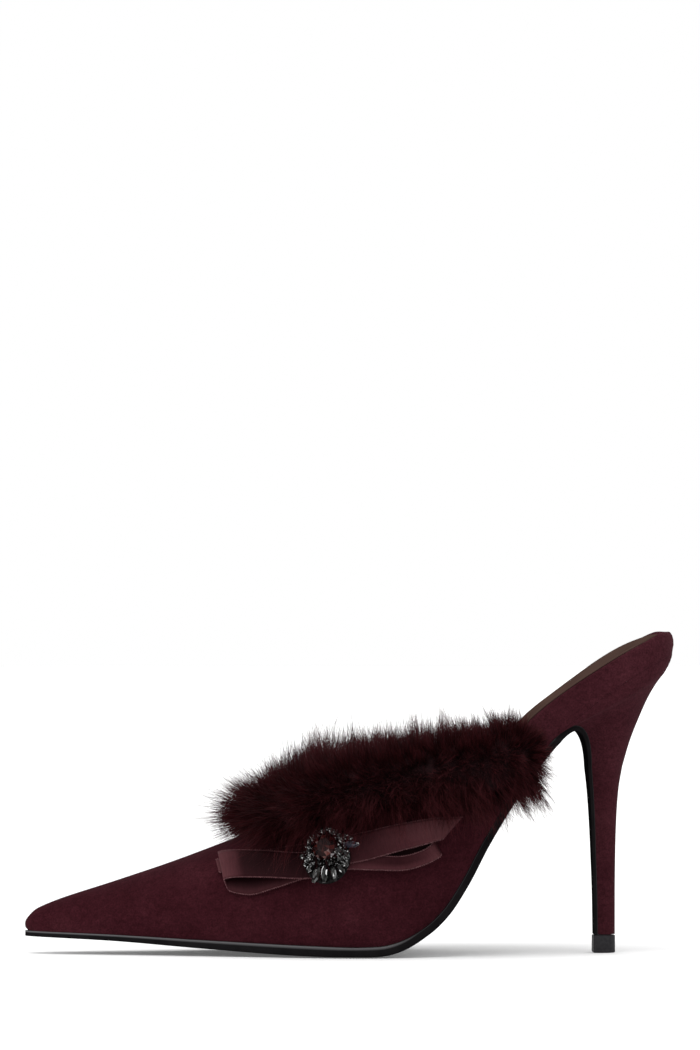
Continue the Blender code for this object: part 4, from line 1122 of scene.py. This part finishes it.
def locks_of_hair(low, high, each):
    """Hair between two places along the band. Locks stand on a jittered net of places and angles, none of them
    where the suede is. Each hair's tip is drawn part of the way to its lock's tip, and the hairs at the band's ends
    fan out along it."""
    across = LOCKS_ACROSS
    along = LOCKS // across
    step = (high - low) / along
    place = low + (np.arange(along)[:, None] + rng.random((along, across))) * step
    angle = (np.arange(across)[None, :] + rng.random((along, across))) * (2 * np.pi / across)
    place, angle = place.ravel(), angle.ravel()
    into_wall = (angle > WALL_FROM) & (angle < WALL_TO)
    place, angle = place[~into_wall], angle[~into_wall]
    lock_size = rng.normal(1.0, 0.15, len(place))
    lean = rng.normal(0, LEAN, (len(place), 3))
    pull = rng.uniform(0.35, 0.8, len(place))

    lock = np.repeat(np.arange(len(place)), each)
    count = len(lock)
    own_place = np.clip(place[lock] + rng.normal(0, 0.55, count) * step, 0, 1)
    own_angle = angle[lock] + rng.normal(0, 0.5, count) * 2 * np.pi / across
    middle, way, runs, to_end = fur_skin(own_place, own_angle)
    lock_middle, lock_way, _, _ = fur_skin(place[lock], angle[lock])
    guard = rng.random(count) < GUARD_SHARE
    longer, shorter = rng.uniform(1.0, 1.34, count), rng.uniform(0.78, 1.08, count)
    size = lock_size[lock] * np.where(guard, longer, shorter)
    own_tip = middle + way * size[:, None]
    lock_tip = lock_middle + lock_way * size[:, None] * 1.04
    tip = own_tip + (lock_tip - own_tip) * pull[lock][:, None]
    long = np.linalg.norm(way, axis=1)[:, None]
    tip = tip + (lean[lock] + rng.normal(0, WAVER, (count, 3))) * long
    end_side = np.where(own_place < 0.5, -1, 1)
    fan = np.clip(1 - to_end / FAN_RUN, 0, 1)
    tip = tip + runs * (end_side * fan * rng.uniform(0.2, 1.0, count) * FAN_REACH)[:, None]
    root = middle + way * rng.uniform(0.18, 0.42, count)[:, None]
    tip = kept_near(tip)
    span = tip - root
    bend = rng.normal(0, BEND, (count, 3)) * long + np.array((0, 0, -0.04)) * long
    tone = 0.46 + 0.12 * guard + 0.22 * rng.normal(size=count) + 0.18 * (lock_size[lock] - 1) / 0.15
    width = np.where(guard, 0.13, 0.17) * MM * rng.uniform(0.7, 1.25, count)
    return root, span - bend, bend, width, np.clip(tone, 0, 1)


fur_hair = new_material("fur_hair", Roughness=0.6, Specular_IOR_Level=0.06)
hair_uv = add_node(fur_hair, "ShaderNodeUVMap", uv_map="hair").outputs["UV"]
split = add_node(fur_hair, "ShaderNodeSeparateXYZ", {"Vector": hair_uv})
# Painted shade and light along each hair: dark at the root, for the shade deep in the fur, and pale at the tip, where
# the light falls.
painted_root_shade_tip_light = ramp(
    fur_hair,
    split.outputs["Y"],
    (0.05, (0.0045, 0.0007, 0.0009)),
    (0.55, (0.0135, 0.0018, 0.0023)),
    (1.0, (0.0480, 0.0100, 0.0118)),
)
by_hair = ramp(fur_hair, split.outputs["X"], (0.1, (0.32, 0.28, 0.29)), (0.9, (1.70, 1.62, 1.64)))
feed(fur_hair, "Base Color", mixed(fur_hair, 1.0, painted_root_shade_tip_light, by_hair, "MULTIPLY"))

FUR_PARTS = (
    ("fur_outer_back", 0.0, 0.26),
    ("fur_outer_front", 0.26, 0.5),
    ("fur_inner_front", 0.5, 0.74),
    ("fur_inner_back", 0.74, 1.0),
)
for name, low, high in FUR_PARTS:
    hair = locks_of_hair(low, high, HAIRS)
    part = new_piece(name, hair_mesh(name, *hair), fur_hair)
    print(name, "triangles:", len(part.data.polygons))
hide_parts("fur_band")

# %% [markdown]
# ## The bow
#
# Two loops and two tails of satin ribbon lie on the outer side. A ribbon is a strip carried along a path of knots:
# each knot says how far along, up and off the suede it lies, and how the strip is turned. The edges of this ribbon
# are woven with a row of tiny loops.

# %% The ribbons' paths
RIBBON_WIDTH = 9.5 * MM
RIBBON_THICKNESS = 0.5 * MM
BROOCH_ALONG = 0.4636
BOW_Z = 36.4 * MM
TAIL_SLANT = 1.1
BOW = {
    "bow_loop_toe": table("""
        at along    up lift turn wide
         0 -0.12 -0.30  6.4    4 0.90
         1 -1.00 -0.47  9.0    3 0.82
         2 -2.20 -0.52 11.5    3 0.80
         3 -3.30 -0.56 11.0    6 0.80
         4 -3.98 -0.62  7.8   11 0.86
         5 -3.90 -0.88  4.6   14 0.92
         6 -3.10 -1.00  3.4    6 0.90
         7 -2.00 -0.74  3.4   -8 0.90
         8 -1.00 -0.40  3.4   -8 0.90
         9 -0.12 -0.20  3.4    0 0.90
    """),
    "bow_tail_toe": table("""
        at along    up lift turn wide
         0 -0.15  0.02  1.4    4 1.00
         1 -1.10 -0.10  1.4    4 1.00
         2 -2.00 -0.22  1.5    4 0.90
         3 -3.10 -0.36  1.8    7 0.70
         4 -4.22 -0.46  2.4   12 0.42
    """),
    "bow_tail_heel": table("""
        at along   up lift turn wide
         0  0.15 0.06  8.0    6 0.92
         1  1.29 0.28  9.0   10 0.88
         2  2.32 0.56  9.8   15 0.84
         3  3.35 0.84  9.4   15 0.80
         4  4.00 0.99  7.4   14 0.78
         5  4.60 1.10  4.0   12 0.76
    """),
    "bow_loop_heel": table("""
        at along    up lift turn wide
         0  0.15 -0.12  6.6    0 0.70
         1  1.20 -0.24  7.4    0 0.50
         2  2.40 -0.28  8.2    6 0.44
         3  3.34 -0.06  7.4   20 0.44
         4  3.92  0.28  5.2   34 0.52
         5  3.96  0.46  3.2   24 0.74
         6  3.40  0.42  1.9   14 0.90
         7  2.40  0.30  1.5    6 0.96
         8  1.20  0.20  1.4    2 1.00
         9  0.15  0.10  1.4    2 1.00
    """),
}


def side_place(x, z):
    """Place on the last's outer side, as along and up, of a point that the side view shows at x and z: a few rounds
    undo the section's lean, and halving finds the height."""
    along = (x - TOE_X) / SHOE_LENGTH
    for _ in range(12):
        lean = np.radians(wall_lean(along))
        along = (x + (z - feather_z(along)) * np.tan(lean) - TOE_X) / SHOE_LENGTH
    low, high = np.zeros_like(x), np.ones_like(x)
    for _ in range(30):
        up = (low + high) / 2
        under = on_last(along, OUTER, up)[..., 2] < z
        low, high = np.where(under, up, low), np.where(under, high, up)
    return along, up


def on_suede(x, z, lift):
    """A point that far out from the suede of the outer side."""
    along, up = side_place(x, z)
    return on_last(along, OUTER, up) + off_last(along, OUTER, up) * lift[..., None]


def ribbon_grid(knots, across, slant=0.0, steps=16):
    """Points of a ribbon, row by row along it, at shares across its width."""
    count = len(knots["at"]) - 1
    at = np.linspace(0, count, steps * count + 1)
    names = ("along", "up", "lift", "turn", "wide")
    along, up, lift, turn, wide = (curve(knots["at"], knots[n])(at)[:, None] for n in names)
    across = np.asarray(across)[None, :] * wide
    angle = np.radians(turn)
    cut = slant * across * (at[:, None] / count) ** 6
    x = x_at(BROOCH_ALONG) + (along + cut - across * np.sin(angle)) * RIBBON_WIDTH
    z = BOW_Z + (up + across * np.cos(angle)) * RIBBON_WIDTH
    x, z, lift = np.broadcast_arrays(x, z, lift * RIBBON_THICKNESS)
    return on_suede(x, z, lift)


# %% Satin
satin = new_material("wine_satin", Roughness=0.45, Specular_IOR_Level=0.02)
ribbon_uv = add_node(satin, "ShaderNodeUVMap", uv_map="ribbon").outputs["UV"]
weft = add_node(
    satin,
    "ShaderNodeTexWave",
    {"Vector": ribbon_uv, "Scale": 900.0, "Distortion": 0.6, "Detail": 1.0},
    bands_direction="X",
).outputs["Fac"]
threads = noise(satin, 400, 3, 0.6, (6.0, 0.6, 1.0), ribbon_uv)
# The base colour is painted light and shade: dark inside the loops and by the brooch, pale on folds and tails.
tone = ramp(
    satin,
    attribute(satin, "painted_satin_light"),
    (0.0, (0.0075, 0.0018, 0.0024)),
    (0.3, (0.0190, 0.0048, 0.0062)),
    (0.65, (0.0460, 0.0140, 0.0170)),
    (1.0, (0.0840, 0.0300, 0.0340)),
)
streaks = grey_ramp(satin, threads, (0.3, 0.84), (0.7, 1.16))
feed(satin, "Base Color", mixed(satin, 1.0, tone, streaks, "MULTIPLY"))
bumped(satin, (threads, 0.0001, 0.25), (weft, 0.00006, 0.3))

picot_thread = speckled(
    "picot_thread",
    (1800, 2, 0.5),
    (0.35, (0.050, 0.017, 0.020)),
    (0.65, (0.150, 0.066, 0.072)),
    Roughness=0.6,
    Specular_IOR_Level=0.10,
)


def set_grid_uv(piece, name, points, cols):
    """UV in metres: the run along the rows, and the run across the columns."""
    grid = points.reshape(-1, cols, 3)
    run = run_along(grid[:, cols // 2])
    over = np.linspace(0, 1, cols) * RIBBON_WIDTH
    uv = np.stack(np.meshgrid(run, over, indexing="ij"), -1).reshape(-1, 2)
    loops = np.empty(len(piece.data.loops), np.int32)
    piece.data.loops.foreach_get("vertex_index", loops)
    piece.data.uv_layers.new(name=name).data.foreach_set("uv", uv[loops].astype(np.float32).ravel())


# Painted light and shade along each ribbon, at its upper and lower edge: low values are painted shade, high ones a
# painted highlight.
SATIN_PAINTED_LIGHT = {
    "bow_loop_toe": table("""
          at upper lower
           0  0.22  0.26
           1  0.12  0.18
           2  0.10  0.18
         2.7  0.14  0.26
        3.15  0.62  0.66
           4  0.80  0.88
         4.6  0.30  0.62
         5.2  0.02  0.45
           6   0.0  0.48
           7   0.0  0.45
           9   0.0  0.25
    """),
    "bow_tail_toe": table("""
         at upper lower
          0   0.3   0.3
          2   0.5   0.5
        3.2   0.7   0.7
          4  0.78  0.82
    """),
    "bow_tail_heel": table("""
         at upper lower
          0  0.55  0.50
          1  0.45  0.42
          2  0.62  0.55
        3.2  0.88  0.80
          4  0.95  0.88
          5  0.80  0.70
    """),
    "bow_loop_heel": table("""
         at upper lower
          0  0.35  0.60
          1  0.40  0.68
          2  0.30  0.62
          3  0.50  0.70
        3.6  0.75  0.80
        4.3  0.40  0.45
          5  0.03  0.12
          7  0.02  0.10
          9  0.02  0.20
    """),
}


def paint_satin_light(piece, source, knots, rows, cols):
    """Painted light and shade on the satin, a value for each point of the ribbon: high for the light on its folds and
    tails, low for the shade inside the loops and by the brooch.
    """
    at = np.linspace(0, knots["at"][-1], rows)[:, None]
    across = np.linspace(0, 1, cols)[None, :]
    upper, lower = (curve(source["at"], source[n])(at) for n in ("upper", "lower"))
    value = lower + (upper - lower) * np.clip((across - 0.12) / 0.36, 0, 1)
    store(piece.data, "painted_satin_light", "POINT", value)


PICOT_STEPS = 6
PICOT_PITCH, PICOT_RADIUS = 0.85 * MM, 0.15 * MM
PICOT_MIDDLE, PICOT_SWING = 0.16 * MM, 0.30 * MM


def picot_edge(edge, inside):
    """A thread that swings in and out along a ribbon's edge: a round tube on a path of small loops. The row of
    points inside the edge says which way is out."""
    run = run_along(edge)
    count = int(run[-1] / PICOT_PITCH) * PICOT_STEPS
    at = np.linspace(0, run[-1], count)
    out = unit(resampled(at, run, unit(edge - inside)))
    phase = np.arange(count) * (2 * np.pi / PICOT_STEPS)
    swung = PICOT_MIDDLE + PICOT_SWING * np.cos(phase)
    centre_line = resampled(at, run, edge) + out * swung[:, None]
    ahead = unit(np.gradient(centre_line, axis=0))
    normal = unit(np.cross(ahead, out))
    first = np.cross(normal, ahead)
    spin = np.linspace(0, 2 * np.pi, 6)[None, :-1, None]
    circle = np.cos(spin) * first[:, None] + np.sin(spin) * normal[:, None]
    return centre_line[:, None] + PICOT_RADIUS * circle


# %% Make the bow
RIBBON_COLS = 13
SATIN_WALL = 0.35 * MM
for name, knots in BOW.items():
    slant = TAIL_SLANT if name == "bow_tail_heel" else 0.0
    grid = ribbon_grid(knots, np.linspace(-0.5, 0.5, RIBBON_COLS), slant)
    ribbon = sheet("satin_" + name, [grid], satin)
    set_grid_uv(ribbon, "ribbon", grid, RIBBON_COLS)
    paint_satin_light(ribbon, SATIN_PAINTED_LIGHT[name], knots, *grid.shape[:2])
    walled(ribbon, SATIN_WALL, 0.0)
    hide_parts(name)
    edges = [picot_edge(grid[:, 0], grid[:, 1]), picot_edge(grid[:, -1], grid[:, -2])]
    picots = sheet("picots_" + name, edges, picot_thread, True)
    print(name, "faces:", len(ribbon.data.polygons), "picots:", len(picots.data.polygons))

# %% [markdown]
# ## The brooch
#
# A dark metal plate carries one large red stone, a ring of small round ones and a fan of long-cut ones. Cut stones
# are faceted on purpose, so they are shaded flat.

# %% The plate's and the stones' looks
blackened = speckled(
    "blackened_plate",
    (900, 3, 0.6),
    (0.35, (0.003, 0.003, 0.003)),
    (0.70, (0.014, 0.013, 0.013)),
    Roughness=0.8,
    Specular_IOR_Level=0.0,
)


def stone_material(name, *stops):
    """A cut stone. Each facet has its own tone, a painted reflection as if it caught another part of the room; the
    palest tones are painted glints.
    """
    material = new_material(name, Roughness=0.12, Specular_IOR_Level=0.10)
    coloured(material, attribute(material, "facet"), *stops)
    return material


# The top stops are painted reflections and glints: a pale facet on the red stone, white ones on the smoke stones.
red_stone = stone_material(
    "red_stone",
    (0.0, (0.0030, 0.0008, 0.0010)),
    (0.45, (0.0100, 0.0016, 0.0018)),
    (0.72, (0.0750, 0.0120, 0.0090)),
    (0.90, (0.1100, 0.0500, 0.0450)),
    (1.0, (0.4200, 0.4200, 0.4400)),
)
smoke_stone = stone_material(
    "smoke_stone",
    (0.0, (0.0020, 0.0020, 0.0024)),
    (0.46, (0.0060, 0.0058, 0.0060)),
    (0.72, (0.0420, 0.0430, 0.0400)),
    (0.89, (0.2300, 0.2320, 0.2350)),
    (0.97, (0.9500, 0.9500, 0.9500)),
)
blue_stone = stone_material(
    "blue_stone",
    (0.0, (0.0040, 0.0042, 0.0070)),
    (0.6, (0.0260, 0.0280, 0.0400)),
    (1.0, (0.1800, 0.1850, 0.2200)),
)

# %% The brooch's place and its stones' forms
CENTRE_STONE = 4.7 * MM
BROOCH_UP = 34.2 * MM
BROOCH_LIFT = 5.0 * MM
BROOCH_PLATE = 1.2 * MM
STONE_SEAT = BROOCH_PLATE + FIT_GAP
BRILLIANT = ((0.80, 0.00), (1.00, 0.34), (1.00, 0.44), (0.82, 0.74), (0.52, 1.00))
STEP_CUT = ((0.86, 0.00), (1.00, 0.32), (1.00, 0.44), (0.78, 0.78), (0.52, 1.00))
BEAD = ((0.55, 0.00), (0.95, 0.25), (1.00, 0.50), (0.75, 0.84), (0.35, 1.00))

spot = side_place(np.array([x_at(BROOCH_ALONG)]), np.array([BROOCH_UP]))
brooch_middle = on_last(spot[0], OUTER, spot[1])[0]
brooch_out = off_last(spot[0], OUTER, spot[1])[0]
brooch_up = unit(np.array((0.0, 0.0, 1.0)) - brooch_out * brooch_out[2])
brooch_right = np.cross(brooch_up, brooch_out)


def brooch_point(right, up, out):
    """A point of the brooch from its centre, measured right, up and out."""
    spread = [np.asarray(part, float)[..., None] for part in np.broadcast_arrays(right, up, out)]
    ways = (brooch_right, brooch_up, brooch_out)
    lifted = brooch_middle + brooch_out * BROOCH_LIFT
    return lifted + sum(part * way for part, way in zip(spread, ways))


def cut_stone(right, up, half_a, half_b, degrees, high, profile, sides, seat=STONE_SEAT):
    """Rings of corners, each turned half a step against the one under it, so that the facets between are triangles.
    A step-cut stone keeps its rings in line, and its facets are four-sided."""
    twist = 0 if profile is STEP_CUT else 1
    turn = np.radians(degrees)
    rings = []
    for level, (size, rise) in enumerate(profile):
        angle = (np.arange(sides) + 0.5 + 0.5 * twist * level) * 2 * np.pi / sides
        a, b = np.cos(angle) * half_a * size, np.sin(angle) * half_b * size
        x, y = right + a * np.cos(turn) - b * np.sin(turn), up + a * np.sin(turn) + b * np.cos(turn)
        rings.append(brooch_point(x * MM, y * MM, seat + high * rise * MM))
    ends = brooch_point([right * MM] * 2, [up * MM] * 2, [seat, seat + high * MM])
    points = np.vstack(rings + [ends])
    count, first = len(profile), len(profile) * sides
    faces, tones = [], []
    # Each facet's tone is a painted reflection, drawn at random.
    light = rng.random((count, sides, 2))
    for level in range(count - 1):
        for i in range(sides):
            j = (i + 1) % sides
            low, high_ring = level * sides, (level + 1) * sides
            if twist:
                faces += [(low + i, low + j, high_ring + i), (low + j, high_ring + j, high_ring + i)]
                tones += [light[level, i, 0], light[level, i, 1]]
            else:
                faces.append((low + i, low + j, high_ring + j, high_ring + i))
                tones.append(light[level, i, 0])
    table_tone = rng.random()
    for i in range(sides):
        j = (i + 1) % sides
        faces.append((j, i, first))
        faces.append((first - sides + i, first - sides + j, first + 1))
        tones += [0.0, 0.55 * table_tone + 0.45 * light[-1, i, 0]]
    return points, faces, tones


def set_stones(name, stones, look, nodes=()):
    """One piece from several stones, its facets flat and each with its own tone."""
    points, faces, tones, start = [], [], [], 0
    for stone in stones:
        corners, sides_of_stone, light = cut_stone(*stone)
        faces += [tuple(index + start for index in face) for face in sides_of_stone]
        points.append(corners)
        tones += light
        start += len(corners)
    mesh = mesh_of(name, np.vstack(points), faces)
    store(mesh, "facet", "FACE", tones)
    piece = new_piece(name, mesh, look)
    if nodes:
        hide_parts(*nodes)
    print(name, "facets:", len(faces))


# %% Set the brooch
rng = np.random.default_rng(5)
MIDDLE = (-0.7, 4.0)
SPOTS, SPOT_GAP, SPOT_FROM = 260, 1.05, 5.4


def set_round(degrees, right, up, *form):
    """Stones of one form round the middle of the brooch, on an oval that reaches this far right and up."""
    turns = np.radians(degrees)
    return [(MIDDLE[0] + right * np.cos(a), MIDDLE[1] + up * np.sin(a), *form) for a in turns]


round_ones = set_round(np.arange(22, 222, 17.5), 6.35, 6.5, 1.12, 1.12, 0, 2.2, BRILLIANT, 8)
round_ones += [
    (4.7, 2.4, 2.0, 2.0, 10, 2.6, BRILLIANT, 10),
    (6.6, 8.0, 1.05, 1.05, 0, 1.8, BRILLIANT, 8),
    (8.4, 7.4, 0.85, 0.85, 0, 1.7, BRILLIANT, 8),
    (7.6, -2.6, 0.95, 0.95, 0, 2.0, BRILLIANT, 8),
    (-9.0, 0.2, 0.95, 0.95, 0, 2.0, BRILLIANT, 8),
    (6.0, -0.4, 0.9, 0.9, 0, 2.1, BRILLIANT, 8),
]
round_nodes = [f"brooch_round_stone_{i + 1}" for i in range(7)]
set_stones("brooch_round_stones", round_ones, smoke_stone, round_nodes)
long_ones = [
    (-5.4, -3.6, 2.3, 1.20, 56, 2.2, STEP_CUT, 8),
    (-3.2, -6.5, 3.3, 1.40, 77, 2.4, STEP_CUT, 8),
    (0.2, -5.9, 3.7, 1.45, 90, 2.8, STEP_CUT, 8),
    (3.6, -6.0, 3.1, 1.40, 104, 2.4, STEP_CUT, 8),
    (5.9, -4.2, 2.3, 1.15, 128, 2.2, STEP_CUT, 8),
    (7.5, 1.2, 1.8, 0.85, -48, 2.0, STEP_CUT, 8),
    (-6.6, -1.3, 1.6, 0.80, 20, 2.0, STEP_CUT, 8),
]
long_nodes = [f"brooch_long_stone_{i + 1}" for i in range(8)]
set_stones("brooch_long_stones", long_ones, smoke_stone, long_nodes)
set_stones("brooch_blue_stone", [(8.8, 5.1, 2.9, 1.30, 2, 2.2, STEP_CUT, 8)], blue_stone)
red_one = (*MIDDLE, 4.7, 5.0, 7, 3.4, BRILLIANT, 14)
set_stones("brooch_red_stone", [red_one], red_stone, ["brooch_centre_stone"])
spots = rng.uniform((-8.2, -3.2), (8.0, 2.6), (SPOTS, 2))
from_middle = np.hypot(*(spots - MIDDLE).T)
around = np.hypot(spots[:, 0] / 8.4, (spots[:, 1] - 0.5) / 8.0)
spots = spots[(from_middle > SPOT_FROM) & (around < 1.0)]
keep = []
for spot in spots:
    if all(np.hypot(*(spot - other)) > SPOT_GAP for other in keep):
        keep.append(spot)
small_ones = [(x, y, 0.62, 0.42, rng.uniform(0, 180), 2.4, STEP_CUT, 4) for x, y in keep]
set_stones("brooch_crystals", small_ones, smoke_stone)
# The prongs take the smoke stones' facet tones, so they carry painted glints too.
prongs = set_round(np.arange(8, 368, 30), 4.9, 5.2, 0.42, 0.42, 0, 2.9, BEAD, 7)
beads = ((-1.6, -2.6), (2.0, -2.4), (-4.0, -3.0), (4.5, -2.6), (6.4, 5.4), (6.6, 4.0), (11.4, 5.3))
prongs += [(x, y, 0.36, 0.36, 0, 2.7, BEAD, 7) for x, y in beads]
set_stones("brooch_prongs", prongs, smoke_stone)
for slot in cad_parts["brooch_plate"].material_slots:
    slot.material = blackened

# %% [markdown]
# ## Floor, light and camera
#
# A pale floor and large soft lamps, as in a studio. The camera stands level and far away, so that the shoe is seen
# from its outer side with almost no perspective.

# %% Stage
FLOOR_HALF = 6.0
PAPER_GLOW = 0.12
corners = [(-1, -1, 0), (1, -1, 0), (1, 1, 0), (-1, 1, 0)]
floor_mesh = mesh_of("floor", np.array(corners) * FLOOR_HALF, [(0, 1, 2, 3)])
paper = new_material(
    "paper",
    Roughness=0.8,
    Specular_IOR_Level=0.2,
    Base_Color=(0.86, 0.86, 0.86, 1),
    Emission_Color=(1, 1, 1, 1),
    Emission_Strength=PAPER_GLOW,
)
floor_mesh.materials.append(paper)
linked("floor", floor_mesh)

world = bpy.data.worlds.new("studio")
world.use_nodes = True
world.node_tree.nodes["Background"].inputs["Color"].default_value = (1, 1, 1, 1)
world.node_tree.nodes["Background"].inputs["Strength"].default_value = 1.0
bpy.context.scene.world = world
bpy.context.scene.view_settings.view_transform = "Standard"


def soft_sun(name, azimuth, elevation, spread, strength):
    """A far lamp of even strength. Its spread is how wide it looks from the shoe, which softens its shadow."""
    light = bpy.data.lights.new(name, "SUN")
    light.angle = np.radians(spread)
    light.energy = strength
    linked(name, light).rotation_euler = (np.radians(90 - elevation), 0, np.radians(azimuth))


soft_sun("lamp_above", -20, 68, 50, 1.1)
soft_sun("lamp_side", -55, 30, 40, 0.7)

# %% Camera
YAW = np.radians(3.5)
DISTANCE = 3.0
FOCAL_PIXELS, FRAME_PIXELS = 8219, 1050
SENSOR = 24
LOOKS_AT = (-0.093, 0, 0.1563)
camera_data = bpy.data.cameras.new("camera")
camera_data.sensor_fit = "VERTICAL"
camera_data.sensor_height = SENSOR
camera_data.lens = FOCAL_PIXELS / FRAME_PIXELS * SENSOR
camera = linked("camera", camera_data)
away = np.array((-np.sin(YAW), -np.cos(YAW), 0))
camera.location = np.array(LOOKS_AT) + away * DISTANCE
camera.rotation_euler = (np.pi / 2, 0, -YAW)
bpy.context.scene.camera = camera
print("camera at", np.round(camera.location, 3))
